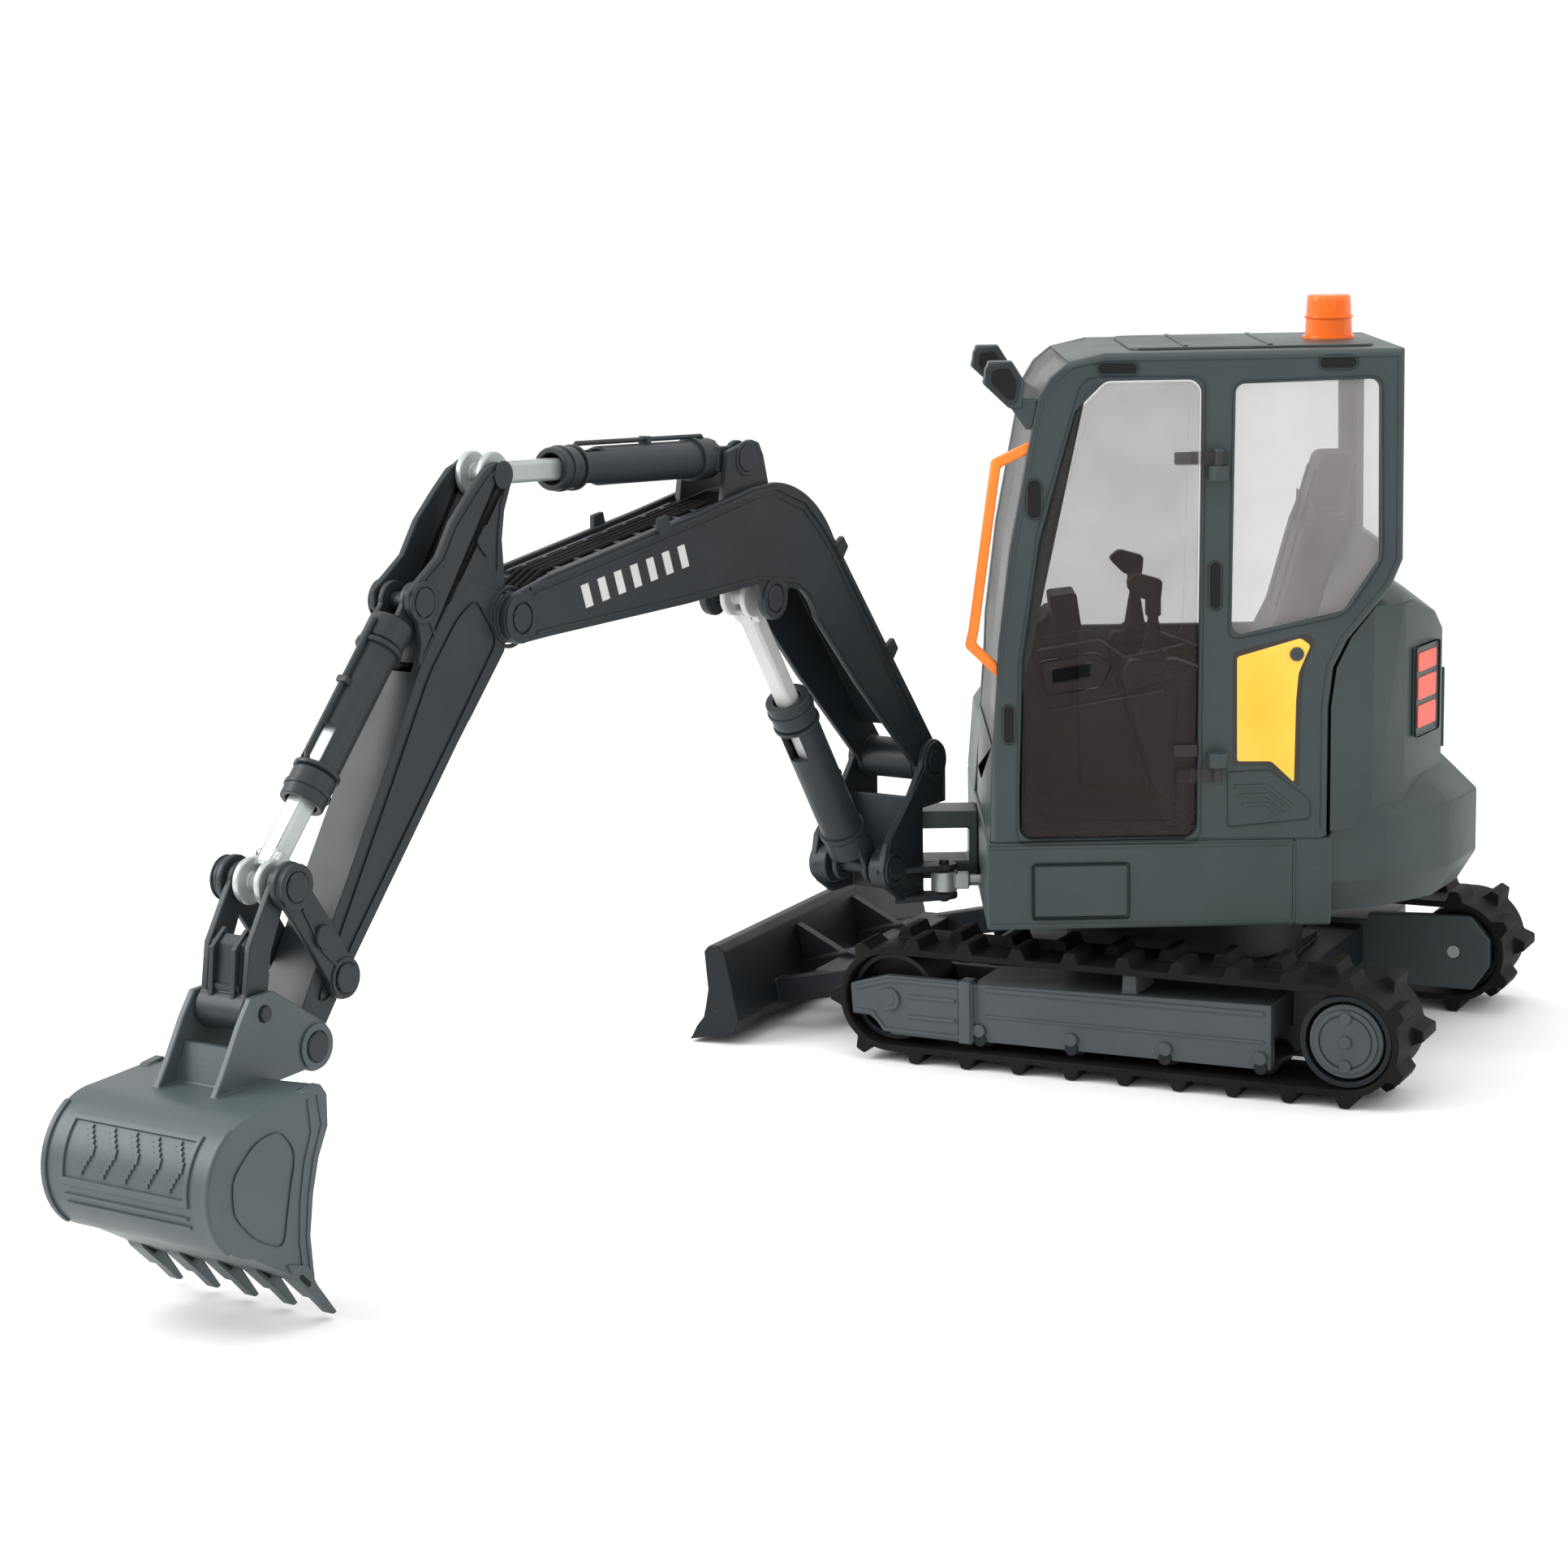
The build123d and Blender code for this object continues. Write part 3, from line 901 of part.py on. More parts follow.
with BuildPart() as coupler:
    plate = [(TILT_TIP[0] - 2.2, TILT_TIP[1] + 1.6), (TILT_TIP[0] + 2.6, TILT_TIP[1] + 1.6), (223.4, 66.0),
             (LINK_PIVOT[0] + 2.8, LINK_PIVOT[1]), (LINK_PIVOT[0] - 2.8, LINK_PIVOT[1]), (218.0, 64.0)]
    for hand in (1, -1):
        slab(arm_frame, plate, hand * link_inner, hand * link_outer)
        rod(arm_frame, TILT_TIP, 3.4, hand * link_inner, hand * link_outer)
    slab(arm_frame, [(221.5, 67.5), (223.2, 66.0), (LINK_PIVOT[0] + 2.6, LINK_PIVOT[1]),
                     (LINK_PIVOT[0] + 0.8, LINK_PIVOT[1])],
         link_inner, -link_inner)
    rod(arm_frame, LINK_PIVOT, 4.0, link_outer, -link_outer)
    rod(arm_frame, TILT_TIP, PIN + RUNNING, link_outer, -link_outer, Mode.SUBTRACT)
    rod(arm_frame, LINK_PIVOT, PIN - 0.3 + OPEN_PIVOT, link_outer + 1, -link_outer - 1, Mode.SUBTRACT)
finish(coupler, "bucket_coupler")

with BuildPart() as bucket:
    half = BUCKET_WIDTH / 2
    with BuildSketch(side(arm_frame, half)):
        with BuildLine():
            Line((222.6, 42.6), (238.6, 41.8))
            ThreePointArc((238.6, 41.8), (251.7, 30.2), (241.6, 16.6))
            Polyline((241.6, 16.6), (226.4, 7.6), (226.0, 9.4), (227.0, 17.0), (225.8, 24.4), (223.8, 30.5),
                     (221.4, 35.4),
                     (221.2, 40.6), (222.6, 42.6))
        make_face()
    extrude(amount=BUCKET_WIDTH)
    with BuildSketch(side(arm_frame, half - BUCKET_WALL)):
        with BuildLine():
            Line((214.0, 41.1), (238.0, 40.3))
            ThreePointArc((238.0, 40.3), (250.2, 30.0), (240.8, 17.8))
            Polyline((240.8, 17.8), (225.0, 8.6), (214.0, 8.6), (214.0, 41.1))
        make_face()
    extrude(amount=BUCKET_WIDTH - 2 * BUCKET_WALL, mode=Mode.SUBTRACT)
    # teeth
    tooth_width = 2.6
    for index in range(TOOTH_COUNT):
        y = -half + tooth_width / 2 + index * (BUCKET_WIDTH - tooth_width) / (TOOTH_COUNT - 1)
        slab(arm_frame, [(230.6, 11.6), (229.4, 8.8), (221.9, 0.9), (220.9, 1.2), (226.6, 9.6)],
             y + tooth_width / 2, y - tooth_width / 2)
    # side cutters
    for hand in (1, -1):
        slab(arm_frame, [(226.6, 42.7), (222.4, 43.2), (220.8, 41.0), (220.9, 35.2), (223.6, 30.2),
                         (225.4, 24.2), (226.6, 16.8),
                         (226.0, 8.6), (228.6, 8.6), (229.4, 24.0)], hand * half, hand * (half - 2.2))
    # mounting ears
    for hand in (1, -1):
        ear = [(BUCKET_PIVOT[0] - 2.6, BUCKET_PIVOT[1] - 3.6), (221.6, 41.2), (236.6, 41.2), (233.0, 46.5),
               (229.0, 53.2),
               (LINK_PIVOT[0] + 3.2, LINK_PIVOT[1] + 3.4), (LINK_PIVOT[0] - 2.6, LINK_PIVOT[1] + 3.6),
               (BUCKET_PIVOT[0] - 2.0, BUCKET_PIVOT[1] + 4.4)]
        slab(arm_frame, ear, hand * ear_inner, hand * ear_outer)
        rod(arm_frame, BUCKET_PIVOT, 4.6, hand * ear_inner, hand * ear_outer)
    slab(arm_frame, [(230.0, 42.0), (231.2, 42.0), (229.2, 49.0), (228.0, 49.0)], ear_inner, -ear_inner)
    rod(arm_frame, BUCKET_PIVOT, PIN + RUNNING, ear_outer, -ear_outer, Mode.SUBTRACT)
    rod(arm_frame, LINK_PIVOT, PIN - 0.3 + SEAT, ear_outer, -ear_outer, Mode.SUBTRACT)
finish(bucket, "bucket")

with BuildPart() as link_pin:
    rod(arm_frame, LINK_PIVOT, PIN - 0.3, ear_outer + HEAD_THICK, -ear_outer - HEAD_THICK)
finish(link_pin, "link_pin")

# =====================================================================================
# Export, with the origin at the middle of the whole object's base
# =====================================================================================
low = [min(getattr(part.bounding_box().min, axis) for part in pieces.values()) for axis in "XYZ"]
high = [max(getattr(part.bounding_box().max, axis) for part in pieces.values()) for axis in "XYZ"]
origin = Vector((low[0] + high[0]) / 2, (low[1] + high[1]) / 2, low[2])
for name, part in pieces.items():
    placed = part.moved(Location(-origin))
    placed.label = name
    export_step(placed, f"parts/{name}.step")
print("pieces", len(pieces), "size", [round(b - a, 2) for a, b in zip(low, high)], "origin", origin)
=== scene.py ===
"""Looks of a toy compact excavator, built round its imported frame.

Every piece is drawn in millimetres in the space of the assembly that carries it, and is placed by that
space's matrix. Spaces come from the frame's joints, so that nothing is fitted by hand.
"""
import json
import logging
import math
from dataclasses import dataclass
from enum import Enum
from typing import Callable, Iterable, Optional, Sequence

import bmesh
import bpy
from mathutils import Matrix, Vector
from mathutils.bvhtree import BVHTree


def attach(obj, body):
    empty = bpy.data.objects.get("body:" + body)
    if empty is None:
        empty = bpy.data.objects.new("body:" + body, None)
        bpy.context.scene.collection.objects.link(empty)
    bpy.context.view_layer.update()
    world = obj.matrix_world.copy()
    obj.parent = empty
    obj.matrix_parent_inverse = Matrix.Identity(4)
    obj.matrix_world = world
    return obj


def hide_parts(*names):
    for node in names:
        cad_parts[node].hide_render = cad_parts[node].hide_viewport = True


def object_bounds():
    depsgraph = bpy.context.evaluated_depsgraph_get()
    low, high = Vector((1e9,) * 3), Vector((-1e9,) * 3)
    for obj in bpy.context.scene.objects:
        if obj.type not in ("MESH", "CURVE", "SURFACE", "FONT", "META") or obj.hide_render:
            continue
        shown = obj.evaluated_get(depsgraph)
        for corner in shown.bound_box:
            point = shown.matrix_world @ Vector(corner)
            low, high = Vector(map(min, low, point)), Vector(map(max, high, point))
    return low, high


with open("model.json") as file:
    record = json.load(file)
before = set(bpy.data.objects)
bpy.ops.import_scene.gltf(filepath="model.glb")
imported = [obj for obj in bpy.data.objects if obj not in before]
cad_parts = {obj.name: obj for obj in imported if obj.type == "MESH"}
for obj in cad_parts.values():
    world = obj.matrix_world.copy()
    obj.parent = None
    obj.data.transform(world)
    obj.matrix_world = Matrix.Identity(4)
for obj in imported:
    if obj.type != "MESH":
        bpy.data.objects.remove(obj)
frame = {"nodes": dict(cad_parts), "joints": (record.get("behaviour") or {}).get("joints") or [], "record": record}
CAD_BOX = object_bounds()

log = logging.getLogger("excavator")
MM = 0.001
GRAIN_DEPTH = 0.00006
FLAT_TURN = 30.0
FACET_TURN = 40.0
SMOOTH_TURN = 38.0
Point2 = tuple[float, float]
Point3 = tuple[float, float, float]
Colour = tuple[float, float, float]


class Side(Enum):
    """The machine's two sides, by the sign of Y."""

    LEFT = 1
    RIGHT = -1

    @property
    def label(self) -> str:
        """The side's word in the frame's names."""
        return self.name.lower()


# ---------------------------------------------------------------------------------------------
# Shader groups and finishes
# ---------------------------------------------------------------------------------------------
class Shader:
    """Small helper that adds and joins nodes of one node tree."""

    def __init__(self, tree: bpy.types.NodeTree) -> None:
        """Keep the tree that nodes are added to."""
        self.tree = tree

    def add(self, kind: str, links: Optional[dict] = None, **values: object) -> bpy.types.Node:
        """Add a node.

        Args:
            kind: the node's type.
            links: input name or index to the output socket that feeds it.
            values: attributes of the node, or unlinked inputs by name with _ for a space.

        Returns:
            The new node.
        """
        node = self.tree.nodes.new(kind)
        for key, value in values.items():
            if hasattr(node, key):
                setattr(node, key, value)
            else:
                node.inputs[key.replace("_", " ")].default_value = value
        for key, socket in (links or {}).items():
            self.tree.links.new(socket, node.inputs[key])
        return node

    def effect(self, group: bpy.types.NodeTree, **values: object) -> bpy.types.Node:
        """Place a shared group.

        Args:
            group: the group.
            values: its inputs by name.

        Returns:
            The new node.
        """
        node = self.add("ShaderNodeGroup", node_tree=group)
        for key, value in values.items():
            node.inputs[key].default_value = value
        return node


def made(name: str, fill: Callable[[Shader], bpy.types.Node]) -> bpy.types.Material:
    """Material of a finish, made on its first use.

    Args:
        name: the material's name.
        fill: adds the finish's nodes and returns its shader.

    Returns:
        The material.
    """
    if name in bpy.data.materials:
        return bpy.data.materials[name]
    material = bpy.data.materials.new(name)
    material.use_nodes = True
    material.node_tree.nodes.clear()
    s = Shader(material.node_tree)
    s.add("ShaderNodeOutputMaterial", {"Surface": fill(s).outputs["BSDF"]})
    return material


GroupParts = tuple[bpy.types.NodeTree, Shader, bpy.types.Node, bpy.types.Node]


def new_group(name: str, inputs: dict, outputs: dict) -> GroupParts:
    """Make an empty shader group with named sockets.

    Args:
        name: the group's name.
        inputs: input name to (socket type, default value).
        outputs: output name to socket type.

    Returns:
        The group, its helper, and its input and output nodes.
    """
    tree = bpy.data.node_groups.new(name, "ShaderNodeTree")
    for key, (kind, default) in inputs.items():
        socket = tree.interface.new_socket(key, in_out="INPUT", socket_type=kind)
        socket.default_value = default
    for key, kind in outputs.items():
        tree.interface.new_socket(key, in_out="OUTPUT", socket_type=kind)
    shader = Shader(tree)
    return tree, shader, shader.add("NodeGroupInput"), shader.add("NodeGroupOutput")


class Effects:
    """Shader groups that the finishes share."""

    def __init__(self) -> None:
        """Build each group once."""
        self.mottle = self._mottle()
        self.grain = self._grain()
        self.specks = self._specks()
        self.smudge = self._smudge()

    @staticmethod
    def _mottle() -> bpy.types.NodeTree:
        """Colour that drifts slowly between two shades, as moulded plastic does.

        Returns:
            The group.
        """
        tree, s, given, out = new_group(
            "moulded_mottle",
            {"Deep": ("NodeSocketColor", (0, 0, 0, 1)), "Light": ("NodeSocketColor", (1, 1, 1, 1)),
             "Scale": ("NodeSocketFloat", 60.0)},
            {"Colour": "NodeSocketColor"})
        place = s.add("ShaderNodeTexCoord")
        wide = s.add("ShaderNodeTexNoise", {"Vector": place.outputs["Object"],
                                            "Scale": given.outputs["Scale"]}, Detail=4.0)
        ramp = s.add("ShaderNodeMapRange", {"Value": wide.outputs["Fac"]}, From_Min=0.3, From_Max=0.7)
        mix = s.add("ShaderNodeMix", {0: ramp.outputs["Result"], 6: given.outputs["Deep"],
                                      7: given.outputs["Light"]}, data_type="RGBA")
        s.tree.links.new(mix.outputs[2], out.inputs["Colour"])
        return tree

    @staticmethod
    def _grain() -> bpy.types.NodeTree:
        """Height of a fine spark-eroded mould texture.

        Returns:
            The group.
        """
        tree, s, given, out = new_group(
            "spark_grain", {"Scale": ("NodeSocketFloat", 2600.0), "Depth": ("NodeSocketFloat", 1.0)},
            {"Height": "NodeSocketFloat"})
        place = s.add("ShaderNodeTexCoord")
        fine = s.add("ShaderNodeTexNoise", {"Vector": place.outputs["Object"],
                                            "Scale": given.outputs["Scale"]}, Detail=2.0)
        cells = s.add("ShaderNodeTexVoronoi", {"Vector": place.outputs["Object"],
                                               "Scale": given.outputs["Scale"]})
        both = s.add("ShaderNodeMath", {0: fine.outputs["Fac"], 1: cells.outputs["Distance"]},
                     operation="MULTIPLY_ADD")
        s.tree.links.new(fine.outputs["Fac"], both.inputs[2])
        deep = s.add("ShaderNodeMath", {0: both.outputs[0], 1: given.outputs["Depth"]}, operation="MULTIPLY")
        s.tree.links.new(deep.outputs[0], out.inputs["Height"])
        return tree

    @staticmethod
    def _specks() -> bpy.types.NodeTree:
        """Mask of sparse dust specks.

        Returns:
            The group.
        """
        tree, s, given, out = new_group(
            "dust_specks", {"Scale": ("NodeSocketFloat", 700.0), "Amount": ("NodeSocketFloat", 0.1)},
            {"Mask": "NodeSocketFloat"})
        place = s.add("ShaderNodeTexCoord")
        cells = s.add("ShaderNodeTexVoronoi", {"Vector": place.outputs["Object"],
                                               "Scale": given.outputs["Scale"]})
        dot = s.add("ShaderNodeMapRange", {"Value": cells.outputs["Distance"],
                                           "From Max": given.outputs["Amount"]}, From_Min=0.0, To_Min=1.0,
                    To_Max=0.0)
        patch = s.add("ShaderNodeTexNoise", {"Vector": place.outputs["Object"]}, Scale=90.0, Detail=3.0)
        some = s.add("ShaderNodeMapRange", {"Value": patch.outputs["Fac"]}, From_Min=0.52, From_Max=0.68)
        mask = s.add("ShaderNodeMath", {0: dot.outputs["Result"], 1: some.outputs["Result"]},
                     operation="MULTIPLY")
        s.tree.links.new(mask.outputs[0], out.inputs["Mask"])
        return tree

    @staticmethod
    def _smudge() -> bpy.types.NodeTree:
        """Roughness that varies with handling.

        Returns:
            The group.
        """
        tree, s, given, out = new_group(
            "handling_smudge", {"Low": ("NodeSocketFloat", 0.35), "High": ("NodeSocketFloat", 0.5)},
            {"Roughness": "NodeSocketFloat"})
        place = s.add("ShaderNodeTexCoord")
        noise = s.add("ShaderNodeTexNoise", {"Vector": place.outputs["Object"]}, Scale=38.0, Detail=5.0,
                      Distortion=0.6)
        span = s.add("ShaderNodeMapRange", {"Value": noise.outputs["Fac"], "To Min": given.outputs["Low"],
                                            "To Max": given.outputs["High"]}, From_Min=0.3, From_Max=0.7)
        s.tree.links.new(span.outputs["Result"], out.inputs["Roughness"])
        return tree


EFFECTS = Effects()


@dataclass(frozen=True)
class Plastic:
    """A moulded plastic or rubber finish.

    Attributes:
        name: the material's name.
        deep: darker base colour, linear.
        light: lighter base colour, linear.
        smooth: lowest roughness.
        dull: highest roughness.
        grain: strength of the mould texture.
        grain_scale: its cells per metre.
        dust: how much of the surface shows specks.
        speck: colour of a speck.
        metallic: share of metal flake.
        specular: strength of the surface's gloss.
    """

    name: str
    deep: Colour
    light: Colour
    smooth: float = 0.36
    dull: float = 0.5
    grain: float = 0.25
    grain_scale: float = 2600.0
    dust: float = 0.05
    speck: Colour = (0.32, 0.32, 0.32)
    metallic: float = 0.0
    specular: float = 0.5

    def material(self) -> bpy.types.Material:
        """The finish's material."""
        return made(self.name, self._fill)

    def _fill(self, s: Shader) -> bpy.types.Node:
        """Add the nodes of mottled colour, specks, handling and grain.

        Args:
            s: helper of the material's tree.

        Returns:
            The shader.
        """
        mottle = s.effect(EFFECTS.mottle, Deep=(*self.deep, 1), Light=(*self.light, 1))
        specks = s.effect(EFFECTS.specks, Amount=self.dust)
        mix = s.add("ShaderNodeMix", {0: specks.outputs["Mask"], 6: mottle.outputs["Colour"]},
                    data_type="RGBA")
        mix.inputs[7].default_value = (*self.speck, 1)
        rough = s.effect(EFFECTS.smudge, Low=self.smooth, High=self.dull)
        grain = s.effect(EFFECTS.grain, Scale=self.grain_scale)
        bump = s.add("ShaderNodeBump", {"Height": grain.outputs["Height"]}, Strength=self.grain,
                     Distance=GRAIN_DEPTH)
        return s.add("ShaderNodeBsdfPrincipled",
                     {"Base Color": mix.outputs[2], "Roughness": rough.outputs["Roughness"],
                      "Normal": bump.outputs["Normal"]},
                     Metallic=self.metallic, Specular_IOR_Level=self.specular)


@dataclass(frozen=True)
class Clear:
    """A see-through plastic finish.

    Attributes:
        name: the material's name.
        deep: tint where it is strongest, linear.
        light: tint where it is weakest, linear.
        cover: lowest opacity.
        haze: highest opacity.
        rough: surface roughness.
    """

    name: str
    deep: Colour
    light: Colour
    cover: float
    haze: float
    rough: float = 0.12

    def material(self) -> bpy.types.Material:
        """The finish's material."""
        return made(self.name, self._fill)

    def _fill(self, s: Shader) -> bpy.types.Node:
        """Add the nodes of drifting tint and haze.

        Args:
            s: helper of the material's tree.

        Returns:
            The shader.
        """
        mottle = s.effect(EFFECTS.mottle, Deep=(*self.deep, 1), Light=(*self.light, 1), Scale=25.0)
        haze = s.effect(EFFECTS.smudge, Low=self.cover, High=self.haze)
        return s.add("ShaderNodeBsdfPrincipled",
                     {"Base Color": mottle.outputs["Colour"], "Alpha": haze.outputs["Roughness"]},
                     Roughness=self.rough, Specular_IOR_Level=0.3, Coat_Weight=0.15, Coat_Roughness=0.06)


SLATE = Plastic("slate_moulding", (0.030, 0.043, 0.044), (0.038, 0.053, 0.054), 0.38, 0.5, specular=0.3)
BUCKET_GREY = Plastic("bucket_plastic", (0.052, 0.068, 0.072), (0.062, 0.080, 0.085), 0.36, 0.46,
                      specular=0.32)
TRACK_GREY = Plastic("track_frame_plastic", (0.042, 0.052, 0.056), (0.052, 0.063, 0.068), 0.4, 0.52,
                     dust=0.07, specular=0.3)
CHARCOAL = Plastic("charcoal_moulding", (0.0155, 0.020, 0.0235), (0.0205, 0.0258, 0.0298), 0.36, 0.48,
                   specular=0.28)
# Very dark base colour with painted shade in it: the blade sits in shade, and that shade is painted in as a low
# base, which the chassis, bottom cover, slew ring, rollers, idlers and sprockets share.
UNDER_SHADE_DARKENED = Plastic("undercarriage_plastic", (0.0072, 0.0098, 0.0122), (0.0105, 0.0138, 0.0166), 0.4, 0.52,
                dust=0.07, specular=0.2)
RUBBER = Plastic("belt_skin", (0.0042, 0.004, 0.0038), (0.0074, 0.007, 0.0064), 0.6, 0.8, 0.6, 1500.0, 0.07,
                 (0.09, 0.085, 0.075), specular=0.14)
SILVER = Plastic("speckled_silver", (0.30, 0.33, 0.33), (0.46, 0.49, 0.49), 0.3, 0.42, 0.35, 1900.0, 0.12,
                 (0.75, 0.78, 0.78), 0.45)
LIGHT_GREY = Plastic("light_grey_plastic", (0.44, 0.45, 0.44), (0.52, 0.53, 0.52), 0.34, 0.44, 0.2, 2000.0,
                     0.08, (0.8, 0.8, 0.8), 0.2)
ORANGE = Plastic("orange_moulding", (0.80, 0.17, 0.006), (0.90, 0.22, 0.010), 0.3, 0.4, 0.15, dust=0.03,
                 speck=(1.0, 0.6, 0.3))
YELLOW = Plastic("yellow_film", (0.86, 0.46, 0.02), (0.93, 0.58, 0.07), 0.3, 0.4, 0.08, dust=0.02,
                 speck=(0.5, 0.3, 0.1))
INK = Plastic("dark_print", (0.012, 0.008, 0.006), (0.02, 0.013, 0.009), 0.35, 0.45, 0.05, dust=0.02)
PALE_INK = Plastic("pale_print", (0.50, 0.50, 0.49), (0.60, 0.60, 0.59), 0.35, 0.45, 0.05, dust=0.02)
RED = Plastic("lamp_marks", (0.60, 0.035, 0.01), (0.72, 0.06, 0.018), 0.28, 0.36, 0.1, dust=0.02,
              speck=(0.9, 0.4, 0.3))
INSIDE = Plastic("cab_trim", (0.006, 0.0066, 0.0072), (0.0095, 0.010, 0.0108), 0.45, 0.6, 0.06, 2400.0,
                 specular=0.12)
SEAT = Plastic("seat_plastic", (0.012, 0.013, 0.0145), (0.018, 0.0195, 0.021), 0.5, 0.65, 0.25, 2000.0,
               specular=0.2)
# Near-black; where it fills the grab slots and the tooth slots it is painted shade in a hollow; it also colours
# the mirrors' faces.
DARK = Plastic("deep_black", (0.005, 0.005, 0.005), (0.008, 0.008, 0.008), 0.5, 0.6, 0.2, specular=0.2)
SMOKED = Clear("smoked_clear", (0.034, 0.022, 0.019), (0.046, 0.031, 0.027), 0.20, 0.26)
RIM_CLEAR = Clear("smoked_rim", (0.022, 0.017, 0.016), (0.034, 0.027, 0.025), 0.55, 0.68)
WINDOW = Clear("window_clear", (0.46, 0.43, 0.42), (0.52, 0.49, 0.48), 0.16, 0.23)
AMBER = Clear("amber_clear", (0.95, 0.13, 0.001), (1.0, 0.18, 0.003), 0.78, 0.9)
Finish = Plastic | Clear


# ---------------------------------------------------------------------------------------------
# Spaces and forms
# ---------------------------------------------------------------------------------------------
def joint(name: str) -> dict:
    """The frame's joint of that name."""
    return next(j for j in frame["joints"] if j["name"] == name)


@dataclass(frozen=True)
class Space:
    """Place and heading of an assembly, with its own millimetres.

    Attributes:
        origin: the space's origin in the row frame, in metres.
        ahead: unit vector of its X axis.
        left: unit vector of its Y axis.
    """

    origin: Vector
    ahead: Vector
    left: Vector

    def matrix(self) -> Matrix:
        """Matrix from the space's millimetres to the row's metres.

        Returns:
            The matrix.
        """
        up = self.ahead.cross(self.left)
        turn = Matrix((self.ahead, self.left, up)).transposed().to_4x4()
        return Matrix.Translation(self.origin) @ turn @ Matrix.Scale(MM, 4)

    @staticmethod
    def between(base: Vector, ahead: Vector, left: Vector) -> "Space":
        """Space with its X along a direction and its Y along another, square to it."""
        return Space(base, ahead.normalized(), left.normalized())


SLEW = Vector(joint("slew")["pos_m"])
SWING = Vector(joint("swing")["pos_m"])
FLOOR_Z = CAD_BOX[0][2]
ACROSS = -Vector(joint("boom_lift")["axis"]).normalized()
GROUND_SPACE = Space.between(Vector((SLEW.x, SLEW.y, 0)), Vector((1, 0, 0)), Vector((0, 1, 0)))
_ahead = Vector((SWING.x - SLEW.x, SWING.y - SLEW.y, 0)).normalized()
HOUSE_SPACE = Space.between(GROUND_SPACE.origin, _ahead, Vector((-_ahead.y, _ahead.x, 0)))
BOOM_SPACE = Space.between(Vector((SWING.x, SWING.y, 0)), ACROSS.cross(Vector((0, 0, 1))), ACROSS)


def cylinder_space(pivot: str, slide: str) -> Space:
    """Space of a cylinder: origin at its base pin, X along it and Y across the boom."""
    return Space.between(Vector(joint(pivot)["pos_m"]), Vector(joint(slide)["axis"]), ACROSS)


def capsule(start: Point2, end: Point2, radius: float, steps: int = 8) -> list[Point2]:
    """Outline of a slot with round ends.

    Args:
        start: centre of its first end.
        end: centre of its other end.
        radius: half its width.
        steps: facets of each end.

    Returns:
        The outline's points in order.
    """
    turn = math.atan2(end[1] - start[1], end[0] - start[0])
    points = []
    for middle, base in ((end, turn - math.pi / 2), (start, turn + math.pi / 2)):
        for i in range(steps + 1):
            angle = base + math.pi * i / steps
            points.append((middle[0] + radius * math.cos(angle), middle[1] + radius * math.sin(angle)))
    return points


def rounded(outline: Sequence[Point2], radius: float, steps: int = 3) -> list[Point2]:
    """Outline with each corner swapped for a short curve.

    Args:
        outline: the corners in order.
        radius: how far along each side a curve starts.
        steps: facets of each curve.

    Returns:
        The rounded outline.
    """
    points = []
    for i, corner in enumerate(outline):
        here = Vector(corner)
        before = Vector(outline[i - 1]) - here
        after = Vector(outline[(i + 1) % len(outline)]) - here
        first = here + before.normalized() * min(radius, before.length * 0.45)
        last = here + after.normalized() * min(radius, after.length * 0.45)
        for k in range(steps + 1):
            t = k / steps
            spot = first * (1 - t) ** 2 + here * 2 * t * (1 - t) + last * t ** 2
            points.append((spot.x, spot.y))
    return points


def arc(centre: Point2, radius: float, start: float, end: float, steps: int = 8) -> list[Point2]:
    """Points along a circle, between two angles in degrees."""
    turns = [math.radians(start + (end - start) * i / steps) for i in range(steps + 1)]
    return [(centre[0] + radius * math.cos(a), centre[1] + radius * math.sin(a)) for a in turns]


def flat(points: Iterable[Point3]) -> bmesh.types.BMesh:
    """New mesh of one face through points.

    Args:
        points: the face's corners in order.

    Returns:
        The mesh.
    """
    part = bmesh.new()
    part.faces.new([part.verts.new(point) for point in points])
    return part


